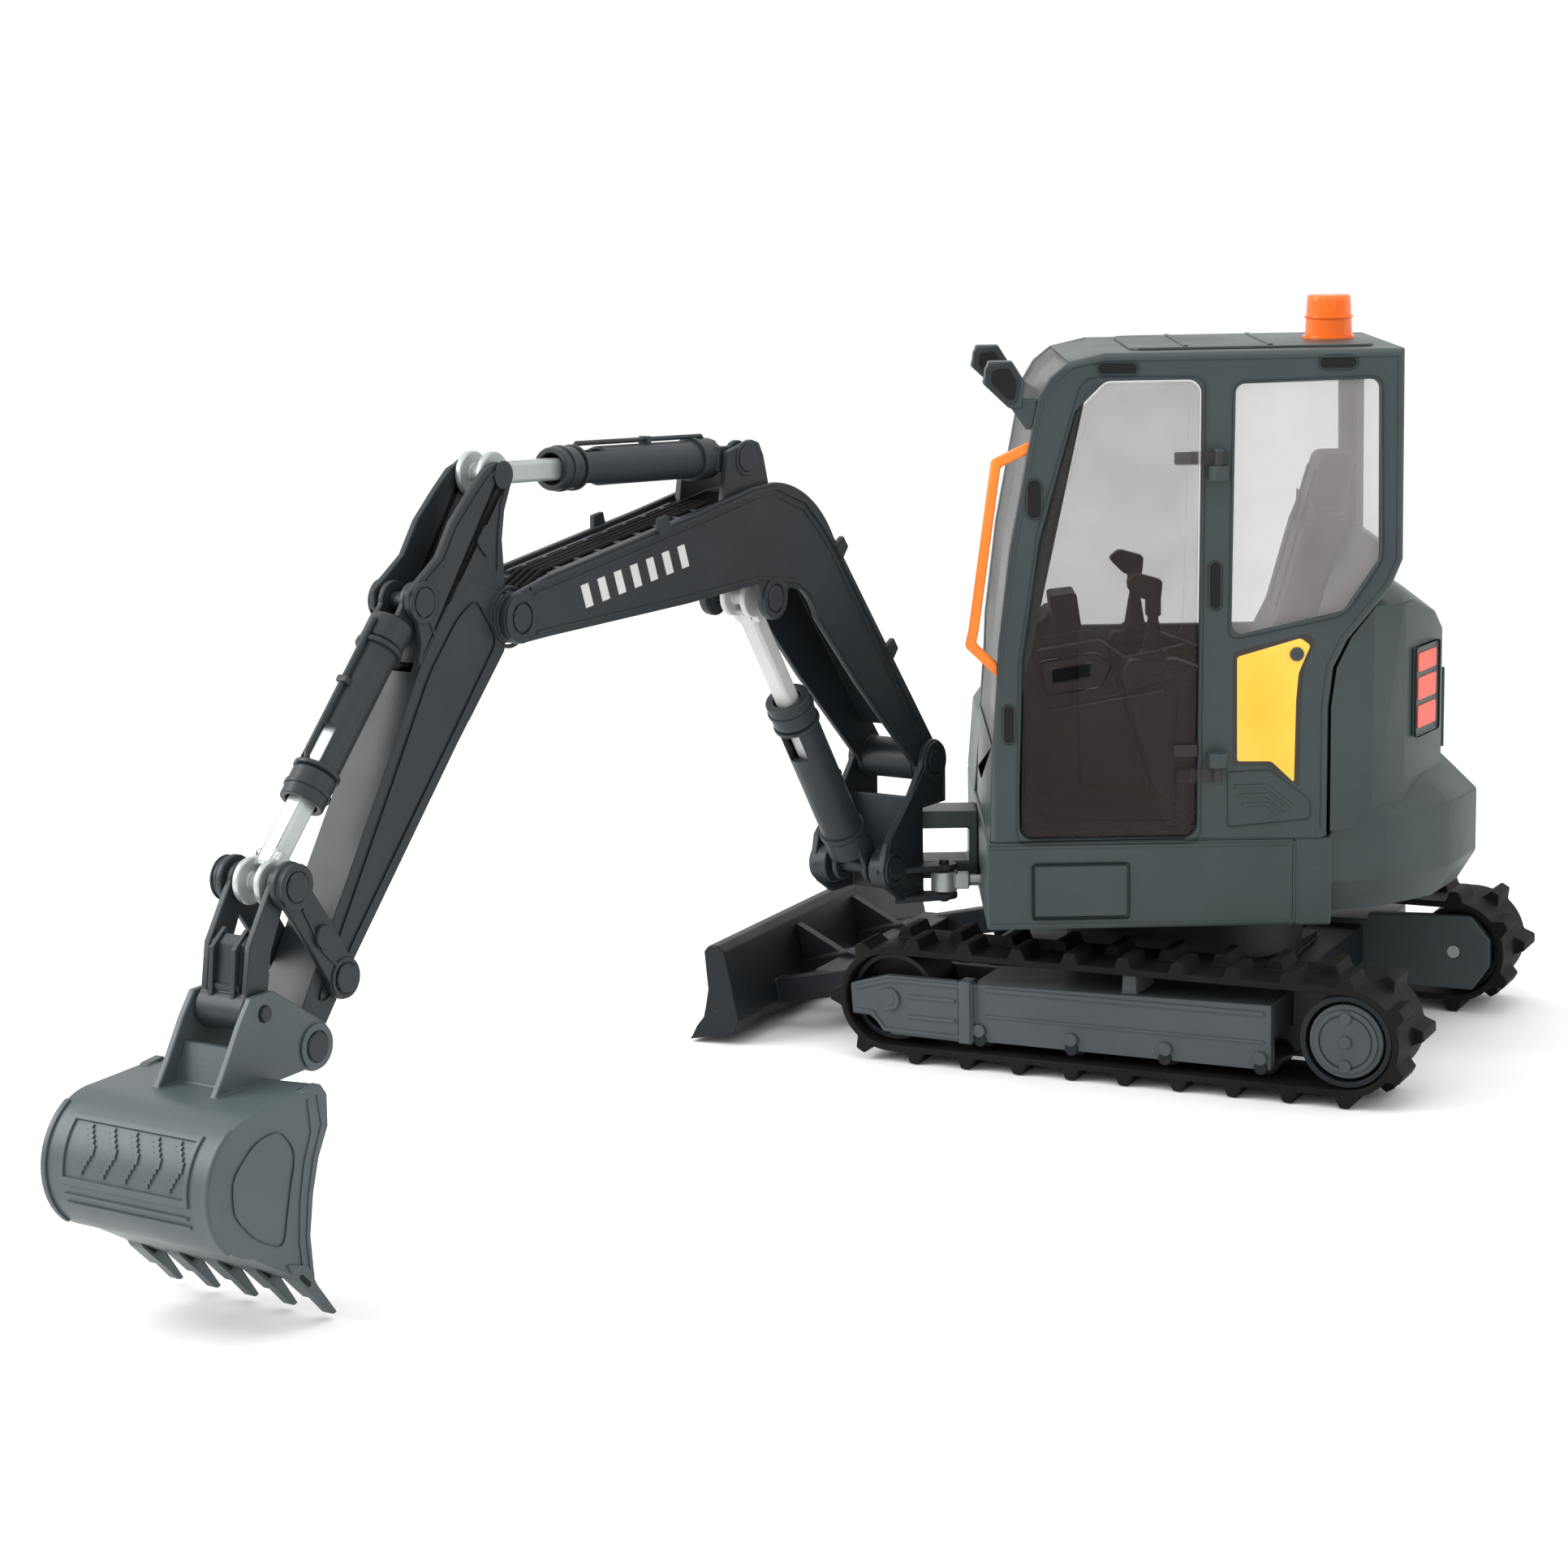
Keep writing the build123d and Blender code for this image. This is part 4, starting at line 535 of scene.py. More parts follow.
class Form:
    """A mesh under construction, in a space's own millimetres."""

    def __init__(self, space: Space) -> None:
        """Start empty in a space."""
        self.space = space
        self.mesh = bmesh.new()

    def _take(self, part: bmesh.types.BMesh, edge: float, angle: float = FLAT_TURN) -> "Form":
        """Round a small closed mesh's sharp edges and add it.

        Args:
            part: the mesh, which is freed.
            edge: width of the rounding.
            angle: edges that turn more than this many degrees are rounded.

        Returns:
            The form.
        """
        bmesh.ops.recalc_face_normals(part, faces=part.faces)
        if edge > 0:
            sharp = [e for e in part.edges if len(e.link_faces) == 2
                     and e.calc_face_angle(0) > math.radians(angle)]
            bmesh.ops.bevel(part, geom=sharp, offset=edge, offset_type="OFFSET", segments=2, profile=0.5,
                            affect="EDGES", material=-1, clamp_overlap=True)
        store = bpy.data.meshes.new("part")
        part.to_mesh(store)
        part.free()
        self.mesh.from_mesh(store)
        bpy.data.meshes.remove(store)
        return self

    def _thicken(self, part: bmesh.types.BMesh, move: Point3, edge: float) -> "Form":
        """Push a flat mesh out into a closed one and add it.

        Args:
            part: the flat mesh, which is freed.
            move: direction and thickness of the push.
            edge: width of the rounding.

        Returns:
            The form.
        """
        moved = bmesh.ops.extrude_face_region(part, geom=list(part.faces))["geom"]
        bmesh.ops.translate(part, verts=[v for v in moved if isinstance(v, bmesh.types.BMVert)], vec=move)
        return self._take(part, edge)

    def _turned(self, section: Sequence[Point3], centre: Point3, axis: Point3, edge: float,
                sides: int) -> "Form":
        """Add a closed section turned once round an axis.

        Args:
            section: the section's corners in order.
            centre: a point on the axis.
            axis: its direction.
            edge: width of the rounding.
            sides: facets of the turn.

        Returns:
            The form.
        """
        part = bmesh.new()
        verts = [part.verts.new(corner) for corner in section]
        loop = [part.edges.new((a, b)) for a, b in zip(verts, verts[1:] + verts[:1])]
        bmesh.ops.spin(part, geom=loop + verts, cent=centre, axis=axis, angle=2 * math.pi, steps=sides,
                       use_merge=True)
        return self._take(part, edge, FACET_TURN)

    def slab(self, outline: Sequence[Point2], left: float, right: float, edge: float = 0.25) -> "Form":
        """Add an outline in X and Z, made thick between two distances to the left."""
        return self._thicken(flat((x, left, z) for x, z in outline), (0, right - left, 0), edge)

    def plate(self, outline: Sequence[Point2], low: float, high: float, edge: float = 0.25) -> "Form":
        """Add an outline in X and Y, made thick between two heights."""
        return self._thicken(flat((x, y, low) for x, y in outline), (0, 0, high - low), edge)

    def rim(self, outline: Sequence[Point2], width: float, left: float, right: float,
            edge: float = 0.12) -> "Form":
        """Add a raised frame inside an outline in X and Z.

        Args:
            outline: the frame's outer corners in order.
            width: how far it reaches inwards.
            left: distance to the left where it starts.
            right: distance to the left where it ends.
            edge: width of the rounding.

        Returns:
            The form.
        """
        part = flat((x, left, z) for x, z in outline)
        bmesh.ops.inset_region(part, faces=part.faces[:], thickness=width, use_even_offset=True,
                               use_boundary=True)
        inner = min(part.faces, key=lambda f: abs(len(f.verts) - len(outline)) * 10 - f.calc_area())
        bmesh.ops.delete(part, geom=[inner], context="FACES_ONLY")
        return self._thicken(part, (0, right - left, 0), edge)

    def rib(self, path: Sequence[Point2], width: float, left: float, right: float,
            edge: float = 0.12) -> "Form":
        """Add a strip along an open path in X and Z.

        Args:
            path: the strip's middle line.
            width: its width.
            left: distance to the left where it starts.
            right: distance to the left where it ends.
            edge: width of the rounding.

        Returns:
            The form.
        """
        sides: list[list[Point2]] = [[], []]
        for i, (x, z) in enumerate(path):
            before = Vector(path[max(i - 1, 0)])
            after = Vector(path[min(i + 1, len(path) - 1)])
            here = Vector((x, z))
            a = (here - before).normalized() if i else (after - here).normalized()
            b = (after - here).normalized() if i < len(path) - 1 else a
            mitre = Vector((-(a + b).y, (a + b).x)).normalized()
            reach = width / 2 / max(0.4, mitre.dot(Vector((-a.y, a.x))))
            sides[0].append((x + mitre.x * reach, z + mitre.y * reach))
            sides[1].append((x - mitre.x * reach, z - mitre.y * reach))
        return self.slab(sides[0] + sides[1][::-1], left, right, edge)

    def disc(self, at: Point2, radius: float, left: float, right: float, edge: float = 0.25,
             sides: int = 40) -> "Form":
        """Add a round bar along Y at a point of X and Z.

        Args:
            at: its middle line's place.
            radius: its radius.
            left: distance to the left where it starts.
            right: distance to the left where it ends.
            edge: width of the rounding.
            sides: its facets.

        Returns:
            The form.
        """
        place = Matrix.Translation((at[0], (left + right) / 2, at[1])) @ Matrix.Rotation(math.radians(90), 4,
                                                                                         "X")
        return self._round(place, radius, left - right, edge, sides)

    def post(self, at: Point2, radius: float, low: float, high: float, edge: float = 0.25,
             sides: int = 40) -> "Form":
        """Add an upright round bar at a point of X and Y."""
        return self._round(Matrix.Translation((at[0], at[1], (low + high) / 2)), radius, high - low, edge,
                           sides)

    def _round(self, place: Matrix, radius: float, length: float, edge: float, sides: int) -> "Form":
        """Add a round bar along a placed Z.

        Args:
            place: the bar's middle and heading.
            radius: its radius.
            length: its length, of either sign.
            edge: width of the rounding.
            sides: its facets.

        Returns:
            The form.
        """
        part = bmesh.new()
        bmesh.ops.create_cone(part, cap_ends=True, segments=sides, radius1=radius, radius2=radius,
                              depth=abs(length), matrix=place)
        return self._take(part, edge, FACET_TURN)

    def block(self, low: Point3, high: Point3, edge: float = 0.25) -> "Form":
        """Add a box.

        Args:
            low: its corner of least X, Y and Z.
            high: the opposite corner.
            edge: width of the rounding.

        Returns:
            The form.
        """
        part = bmesh.new()
        size = [abs(b - a) for a, b in zip(low, high)]
        middle = [(a + b) / 2 for a, b in zip(low, high)]
        bmesh.ops.create_cube(part, size=1.0, matrix=Matrix.Translation(middle) @ Matrix.Diagonal((*size, 1)))
        return self._take(part, edge)

    def ring(self, at: Point2, outer: float, inner: float, left: float, right: float,
             edge: float = 0.15) -> "Form":
        """Add a flat ring round Y at a point of X and Z.

        Args:
            at: its middle.
            outer: its outer radius.
            inner: its inner radius.
            left: distance to the left where it starts.
            right: distance to the left where it ends.
            edge: width of the rounding.

        Returns:
            The form.
        """
        corners = ((outer, left), (outer, right), (inner, right), (inner, left))
        return self._turned([(at[0] + r, y, at[1]) for r, y in corners], (at[0], 0, at[1]), (0, 1, 0), edge,
                            48)

    def band(self, inner: float, outer: float, start: float, end: float, edge: float) -> "Form":
        """Add a flat ring round the space's own X axis."""
        section = [(start, 0, inner), (end, 0, inner), (end, 0, outer), (start, 0, outer)]
        return self._turned(section, (0, 0, 0), (1, 0, 0), edge, 40)

    def tube(self, path: Sequence[Point3], radius: float) -> "Form":
        """Add a round pipe with closed ends.

        Args:
            path: the points that it runs through.
            radius: its radius.

        Returns:
            The form.
        """
        curve = bpy.data.curves.new("pipe", "CURVE")
        curve.dimensions = "3D"
        curve.bevel_depth = radius
        curve.bevel_resolution = 3
        curve.use_fill_caps = True
        spline = curve.splines.new("POLY")
        spline.points.add(len(path) - 1)
        for point, place in zip(spline.points, path):
            point.co = (*place, 1)
        holder = bpy.data.objects.new("pipe", curve)
        bpy.context.scene.collection.objects.link(holder)
        mesh = bpy.data.meshes.new_from_object(holder.evaluated_get(bpy.context.evaluated_depsgraph_get()))
        self.mesh.from_mesh(mesh)
        bpy.data.objects.remove(holder)
        bpy.data.meshes.remove(mesh)
        bpy.data.curves.remove(curve)
        return self

    def mirrored(self) -> "Form":
        """Add the same again on the other side of Y = 0.

        Returns:
            The form.
        """
        geom = self.mesh.verts[:] + self.mesh.edges[:] + self.mesh.faces[:]
        twin = bmesh.ops.duplicate(self.mesh, geom=geom)["geom"]
        verts = [v for v in twin if isinstance(v, bmesh.types.BMVert)]
        bmesh.ops.scale(self.mesh, vec=(1, -1, 1), verts=verts)
        bmesh.ops.reverse_faces(self.mesh, faces=[f for f in twin if isinstance(f, bmesh.types.BMFace)])
        return self

    def piece(self, name: str, node: str, finish: Finish) -> bpy.types.Object:
        """Close the mesh into an object.

        Args:
            name: the piece's name.
            node: the frame node that it belongs to.
            finish: its finish.

        Returns:
            The finished object.
        """
        bmesh.ops.transform(self.mesh, matrix=self.space.matrix(), verts=self.mesh.verts)
        return settle(name, self.mesh, node, finish)


BODY_OF = {node: body for body, nodes in frame["record"]["behaviour"]["bodies"].items() for node in nodes}


def settle(name: str, part: bmesh.types.BMesh, node: str, finish: Finish) -> bpy.types.Object:
    """Shade a finished mesh, dress it and hang it on a node's body.

    Args:
        name: the piece's name.
        part: its mesh in metres, which is freed.
        node: the frame node whose body it takes.
        finish: its finish.

    Returns:
        The new object.
    """
    mesh = bpy.data.meshes.new(name)
    part.to_mesh(mesh)
    part.free()
    mesh.materials.append(finish.material())
    mesh.shade_smooth()
    mesh.set_sharp_from_angle(angle=math.radians(SMOOTH_TURN))
    piece = bpy.data.objects.new(name, mesh)
    bpy.context.scene.collection.objects.link(piece)
    even = piece.modifiers.new("even_normals", "WEIGHTED_NORMAL")
    even.keep_sharp = True
    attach(piece, BODY_OF[node])
    log.info("piece %s: %d faces on %s", name, len(mesh.polygons), BODY_OF[node])
    return piece


def soften(node: str, finish: Finish, edge: float = 0.3, segments: int = 2,
           first: Optional[Callable[[bmesh.types.BMesh], None]] = None) -> bpy.types.Object:
    """Stand a copy of a frame node with rounded edges in its place.

    Args:
        node: the frame node.
        finish: the finish of the copy.
        edge: width of the rounding in millimetres.
        segments: facets of the rounding.
        first: work on the merged copy before its edges are rounded.

    Returns:
        The new piece.
    """
    source = frame["nodes"][node]
    part = bmesh.new()
    part.from_mesh(source.data)
    bmesh.ops.transform(part, matrix=source.matrix_world, verts=part.verts)
    bmesh.ops.remove_doubles(part, verts=part.verts, dist=2e-6)
    bmesh.ops.dissolve_limit(part, angle_limit=math.radians(0.6), verts=part.verts, edges=part.edges,
                             delimit=set())
    if first:
        first(part)
    turns = {e: math.degrees(e.calc_face_angle(0)) for e in part.edges if len(e.link_faces) == 2}
    points = {v for e, turn in turns.items() if turn >= 104 for v in e.verts}
    sharp = [e for e, turn in turns.items() if 28 < turn < 104 and not points.intersection(e.verts)]
    skin = BVHTree.FromBMesh(part)
    bmesh.ops.bevel(part, geom=sharp, offset=edge * MM, offset_type="OFFSET", segments=segments, profile=0.5,
                    affect="EDGES", material=-1, clamp_overlap=False)
    for vert in part.verts:
        near, _, _, away = skin.find_nearest(vert.co)
        if away > 0.5 * edge * MM:
            vert.co = near
    piece = settle(node + "_look", part, node, finish)
    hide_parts(node)
    return piece


# ---------------------------------------------------------------------------------------------
# Studio
# ---------------------------------------------------------------------------------------------
@dataclass
class Studio:
    """Pale floor, soft lights and the camera.

    Attributes:
        eye: the camera's place in the house's millimetres.
        yaw: turn of its aim from straight across the machine, in radians.
        pitch: its aim below the horizon.
        roll: its tilt.
        focal: focal length over the sensor's width.
        sky: brightness of the room.
    """

    eye: Point3 = (82.85, 783.96, 204.86)
    yaw: float = 0.011
    pitch: float = 0.185
    roll: float = -0.019
    focal: float = 4299.9 / 1932
    sky: float = 1.12

    def build(self) -> None:
        """Make the floor, the lights and the camera."""
        self._floor()
        self._lights()
        self._camera()

    def _floor(self) -> None:
        """Lay a wide pale floor under the machine."""
        part = bmesh.new()
        bmesh.ops.create_grid(part, x_segments=1, y_segments=1, size=6.0,
                              matrix=Matrix.Translation((0, 0, FLOOR_Z - 0.0002)))
        mesh = bpy.data.meshes.new("floor")
        part.to_mesh(mesh)
        part.free()
        mesh.materials.append(Plastic("studio_paper", (0.90, 0.90, 0.90), (0.93, 0.93, 0.93), 0.7, 0.8, 0.05,
                                      dust=0.0).material())
        floor = bpy.data.objects.new("floor", mesh)
        bpy.context.scene.collection.objects.link(floor)

    def _lights(self) -> None:
        """Light the room evenly, with soft boxes above and at the sides."""
        world = bpy.data.worlds.new("studio")
        world.use_nodes = True
        world.node_tree.nodes["Background"].inputs["Color"].default_value = (1, 1, 1, 1)
        world.node_tree.nodes["Background"].inputs["Strength"].default_value = self.sky
        bpy.context.scene.world = world
        centre = HOUSE_SPACE.matrix() @ Vector((80, 0, 70))
        for place, size, watts in (((60, 120, 900), 0.9, 2.2), ((760, 170, 450), 0.5, 5.5),
                                   ((-600, 300, 500), 0.5, 0.8)):
            lamp = bpy.data.lights.new("softbox", "AREA")
            lamp.size = size
            lamp.energy = watts
            holder = bpy.data.objects.new("softbox", lamp)
            holder.location = HOUSE_SPACE.matrix() @ Vector(place)
            holder.rotation_euler = (centre - holder.location).to_track_quat("-Z", "Y").to_euler()
            bpy.context.scene.collection.objects.link(holder)
        bpy.context.scene.view_settings.view_transform = "Standard"

    def _camera(self) -> None:
        """Stand the camera on the machine's left."""
        turn = Matrix.Rotation(self.yaw, 3, "Z")
        right = turn @ Vector((-1, 0, 0))
        ahead = turn @ Vector((0, -1, 0))
        up = Vector((0, 0, 1))
        aim = ahead * math.cos(self.pitch) - up * math.sin(self.pitch)
        top = up * math.cos(self.pitch) + ahead * math.sin(self.pitch)
        side = right * math.cos(self.roll) + top * math.sin(self.roll)
        top = top * math.cos(self.roll) - right * math.sin(self.roll)
        place = HOUSE_SPACE.matrix().normalized()
        pose = Matrix((side, top, -aim)).transposed().to_4x4()
        lens = bpy.data.cameras.new("camera")
        lens.sensor_fit = "HORIZONTAL"
        lens.sensor_width = 36.0
        lens.lens = 36.0 * self.focal
        lens.clip_start = 0.01
        camera = bpy.data.objects.new("camera", lens)
        spot = HOUSE_SPACE.matrix() @ Vector(self.eye)
        camera.matrix_world = Matrix.Translation(spot) @ place.to_3x3().to_4x4() @ pose
        bpy.context.scene.collection.objects.link(camera)
        bpy.context.scene.camera = camera


# ---------------------------------------------------------------------------------------------
# Undercarriage
# ---------------------------------------------------------------------------------------------
@dataclass
class Undercarriage:
    """Belts, track frames, wheels, chassis and blade.

    Attributes:
        idler: the idlers' axle, forward and up.
        sprocket: the sprockets' axle.
        hub: outer face of a drive hub, from the middle.
        yoke: outer face of a track frame's fork.
        beam: outer face of its beam.
        blade_end: outer face of the blade.
    """

    idler: Point2 = (50.45, 14.2)
    sprocket: Point2 = (-54.05, 14.2)
    hub: float = 53.4
    yoke: float = 54.2
    beam: float = 52.6
    blade_end: float = 54.6

    def build(self) -> None:
        """Dress the frame's nodes and add the trim."""
        for side in Side:
            for node, finish, edge in (("track_belt", RUBBER, 0.35), ("track_frame", TRACK_GREY, 0.35),
                                       ("track_rollers", UNDER_SHADE_DARKENED, 0.2), ("idler", UNDER_SHADE_DARKENED, 0.25),
                                       ("sprocket", UNDER_SHADE_DARKENED, 0.25)):
                soften(f"{node}_{side.label}", finish, edge)
        for node in ("chassis_frame", "bottom_cover", "slew_ring", "dozer_blade"):
            soften(node, UNDER_SHADE_DARKENED, 0.35)
        for node in ("wheel_axles", "blade_pins", "slew_pin"):
            soften(node, SILVER, 0.15)
        for side in Side:
            self._hub(side)
            self._yoke(side)
        self._blade_lip()

    def _hub(self, side: Side) -> None:
        """Make the drive hub's disc with its engraved circle and bolt bosses.

        Args:
            side: the track's side.
        """
        at, face, hand = self.sprocket, side.value * self.hub, side.value
        form = Form(GROUND_SPACE)
        form.disc(at, 8.1, hand * 48.8, face, 0.5)
        form.disc(at, 4.6, hand * 47.0, hand * 48.8, 0.2)
        form.ring(at, 6.9, 5.9, face, face + hand * 0.5)
        form.disc(at, 5.5, face, face + hand * 0.4, 0.15)
        for lift in (-5.2, 0.0, 5.2):
            form.disc((at[0], at[1] + lift), 1.35, face, face + hand, 0.3, sides=24)
        hub = form.piece(f"hub_face_{side.label}", f"hub_disc_{side.label}", TRACK_GREY)
        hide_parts(f"hub_disc_{side.label}")

    def _yoke(self, side: Side) -> None:
        """Add the ridges and bolt heads of a track frame's outer face.

        Args:
            side: the track's side.
        """
        form = Form(GROUND_SPACE)
        hand, yoke, beam = side.value, side.value * self.yoke, side.value * self.beam
        for path in ([(33.4, 18.6), (50.4, 18.6), (58.6, 16.2)], [(33.6, 7.0), (51.6, 7.2), (54.6, 10.9),
                                                                  (58.8, 11.1)], [(34.6, 15.2), (46.0, 15.2)],
                     [(34.6, 10.6), (46.0, 10.6)]):
            form.rib(path, 0.8, yoke - hand * 0.3, yoke + hand * 0.35, 0.15)
        form.disc(self.idler, 2.6, yoke - hand * 0.3, yoke + hand * 0.6, 0.3)
        form.disc(self.idler, 1.4, yoke, yoke + hand * 0.75, 0.2)
        for x in (29.3, 7.6, -14.0, -35.3):
            form.disc((x, 8.7), 1.5, beam, beam + hand * 1.3, 0.35, sides=20)
        form.rib([(-36.0, 18.4), (28.0, 18.0)], 1.0, beam, beam + hand * 0.8, 0.2)
        form.rib([(-36.0, 12.2), (28.0, 12.0)], 0.6, beam, beam + hand * 0.7, 0.15)
        form.piece(f"yoke_trim_{side.label}", f"track_frame_{side.label}", TRACK_GREY)

    def _blade_lip(self) -> None:
        """Add the blade's bolted cutting edge and its ribs, at its ends and across it."""
        form = Form(GROUND_SPACE)
        for y in (-self.blade_end, -27.0, 0.0, 27.0, self.blade_end):
            wide = 0.4 if abs(y) == self.blade_end else 0.6
            form.slab([(91.2, 20.8), (90.0, 16.0), (88.6, 9.0), (88.0, 5.2), (89.4, 3.2), (91.4, 3.6),
                       (91.8, 20.0)], y - wide, y + wide, 0.2)
        form.slab([(96.4, 6.4), (98.6, 3.6), (100.0, 0.8), (99.2, 0.7), (97.0, 3.4), (95.6, 5.6)],
                  -self.blade_end, self.blade_end, 0.1)
        form.piece("blade_trim", "dozer_blade", UNDER_SHADE_DARKENED)


# ---------------------------------------------------------------------------------------------
# Upper body
# ---------------------------------------------------------------------------------------------
def part_centre(part: bmesh.types.BMesh) -> Vector:
    """Middle of a mesh's points.

    Args:
        part: the mesh.

    Returns:
        The middle, in the mesh's own units.
    """
    total = Vector()
    for vert in part.verts:
        total += vert.co
    return total / len(part.verts)


@dataclass
class Cab:
    """Cab shell with its windows, door, fittings and inside.

    Attributes:
        left: outer face of the shell's left side.
        beacon: middle of the beacon.
        beacon_bars: bars inside it.
    """

    left: float = 47.4
    beacon: Point2 = (-29.3, 17.0)
    beacon_bars: int = 8

    def build(self) -> None:
        """Dress the cab's nodes and add the trim."""
        soften("cab_shell", SLATE, 0.4, 3, self._round_outline)
        for node in ("windshield", "lower_window", "side_window_left", "side_window_right", "rear_window"):
            soften(node, WINDOW, 0.15)
        soften("door", SMOKED, 0.25)
        soften("door_hinges", SLATE, 0.25)
        soften("console", INSIDE, 0.5)
        soften("seat", SEAT, 1.6, 3)
        soften("control_levers", INSIDE, 0.3)
        soften("beacon", AMBER, 0.6, 3)
        soften("handrail", ORANGE, 0.6, 3)
        for side in Side:
            soften(f"mirror_{side.label}", SLATE, 0.3)
        self._shell_trim()
        self._openings()
        self._decal()
        self._door_trim()
        self._hinge_brackets()
        self._rear_vent()
        self._mirrors()
        self._beacon_trim()
        self._seat_trim()

    def _shell_trim(self) -> None:
        """Add seals, seams and the gutter to the shell."""
        out = self.left
        form = Form(HOUSE_SPACE)
        form.rim(rounded([(-5.0, 151.4), (-36.4, 152.1), (-37.0, 113.1), (-29.1, 101.4), (-4.2, 96.4)], 2.6),
                 0.9, out - 0.1, out + 0.35, 0.15)
        form.rim(rounded([(26.7, 152.8), (36.5, 119.9), (36.8, 116.5), (40.4, 92.9), (41.2, 52.8),
                          (1.6, 52.6), (0.7, 152.6)], 3.0), 0.6, out - 0.1, out + 0.3, 0.12)
        form.rib([(44.6, 88.2), (43.9, 95.6), (41.2, 116.5), (36.6, 141.7), (35.0, 148.4), (32.4, 152.2),
                  (28.8, 155.0), (22.0, 156.3), (-39.8, 156.3)], 0.45, out - 0.1, out + 0.25, 0.1)
        form.rib([(-39.8, 156.3), (-40.0, 113.4), (-37.6, 108.0), (-28.5, 96.8), (-25.5, 90.8), (-24.5, 81.9),
                  (-24.4, 55.5)], 0.45, out - 0.1, out + 0.25, 0.1)
        form.piece("cab_seams", "cab_shell", SLATE)
        roof = Form(HOUSE_SPACE)
        roof.plate(rounded([(16.0, 40.0), (16.0, -5.2), (-36.0, -5.2), (-36.0, 40.0)], 4.0), 157.5, 158.3,
                   0.3)
        for x in (-14.0, 4.0):
            roof.plate([(x + 0.5, 38.0), (x + 0.5, -3.2), (x - 0.5, -3.2), (x - 0.5, 38.0)], 158.2, 158.6,
                       0.15)
        roof.piece("roof_panel", "cab_shell", SLATE)

    def _openings(self) -> None:
        """Add the oblong grab slots: a raised rim round a dark recess."""
        slots = (((36.9, 129.9), (36.9, 124.7), 1.8), ((42.6, 82.0), (42.6, 76.1), 1.45),
                 ((-1.4, 112.1), (-1.4, 104.4), 1.5), ((22.2, 154.6), (16.3, 154.5), 1.5),
                 ((-24.4, 155.0), (-29.6, 155.0), 1.6))
        rims = Form(HOUSE_SPACE)
        dark = Form(HOUSE_SPACE)
        for start, end, radius in slots:
            rims.rim(capsule(start, end, radius), 0.45, self.left - 0.1, self.left + 0.4, 0.12)
            dark.slab(capsule(start, end, radius - 0.4), self.left - 0.1, self.left + 0.06, 0.0)
        rims.piece("grab_slot_rims", "cab_shell", SLATE)
        dark.piece("grab_slot_shade", "cab_shell", DARK)

    def _decal(self) -> None:
        """Add the yellow film with its dark border, and the lock above it."""
        outline = [(-5.2, 93.9), (-20.8, 97.7), (-22.9, 96.1), (-20.4, 90.2), (-19.9, 84.2), (-19.6, 64.5),
                   (-12.6, 69.2), (-5.3, 69.3)]
        border = Form(HOUSE_SPACE)
        border.slab(rounded(outline, 0.8), self.left - 0.05, self.left + 0.06, 0.0)
        border.piece("decal_border", "cab_shell", INK)
        centre = (sum(x for x, _ in outline) / len(outline), sum(z for _, z in outline) / len(outline))
        inner = [(x + (1.2 if x < centre[0] else -0.9), z + (1.0 if z < centre[1] else -1.0)) for x,
                 z in outline]
        film = Form(HOUSE_SPACE)
        film.slab(rounded(inner, 0.6), self.left, self.left + 0.12, 0.0)
        film.piece("decal_film", "cab_shell", YELLOW)
        lock = Form(HOUSE_SPACE)
        lock.disc((-18.8, 93.3), 1.5, self.left, self.left + 0.7, 0.25, sides=28)
        lock.block((-19.7, self.left + 0.6, 93.1), (-17.9, self.left + 0.85, 93.5), 0.05)
        lock.piece("cab_lock", "cab_shell", SLATE)

    def _door_trim(self) -> None:
        """Add the door's border, panel lines and handle frame."""
        face = self.left + 0.2
        border = Form(HOUSE_SPACE)
        border.rim(rounded([(25.4, 151.2), (35.0, 119.7), (35.2, 116.4), (38.9, 92.7), (39.6, 54.4),
                            (3.2, 54.2), (2.1, 151.0)], 2.6), 0.9, face - 0.1, face + 0.4, 0.15)
        border.rim(rounded([(24.0, 149.4), (33.2, 119.5), (33.5, 116.2), (36.9, 97.6), (24.4, 99.6),
                            (18.6, 95.6), (5.6, 98.2), (4.2, 149.2)], 2.4), 0.45, face - 0.1, face + 0.25,
                   0.1)
        border.rim(rounded([(35.7, 81.3), (8.5, 88.0), (6.7, 86.3), (7.2, 57.7), (35.8, 58.1)], 1.4), 0.5,
                   face - 0.1, face + 0.3, 0.1)
        border.rib([(36.6, 95.2), (23.2, 97.2), (17.8, 93.3), (5.4, 95.9)], 0.5, face - 0.1, face + 0.25, 0.1)
        border.rim(rounded([(36.5, 92.7), (24.0, 94.6), (20.4, 91.9), (22.7, 87.1), (34.5, 85.3)], 1.2), 1.1,
                   face - 0.1, face + 1.2, 0.25)
        border.rib([(33.6, 82.0), (9.4, 86.0)], 0.4, face - 0.1, face + 0.2, 0.1)
        border.piece("door_trim", "door", RIM_CLEAR)

    def _hinge_brackets(self) -> None:
        """Add the pads that the door's hinge arms are moulded on."""
        form = Form(HOUSE_SPACE)
        for z in (131.6, 69.0):
            form.slab(rounded([(7.4, z + 2.6), (7.4, z + 5.2), (2.4, z + 5.2), (2.4, z + 2.6)], 0.4),
                      self.left + 0.2, self.left + 0.9, 0.2)
        form.piece("hinge_pads", "door", RIM_CLEAR)

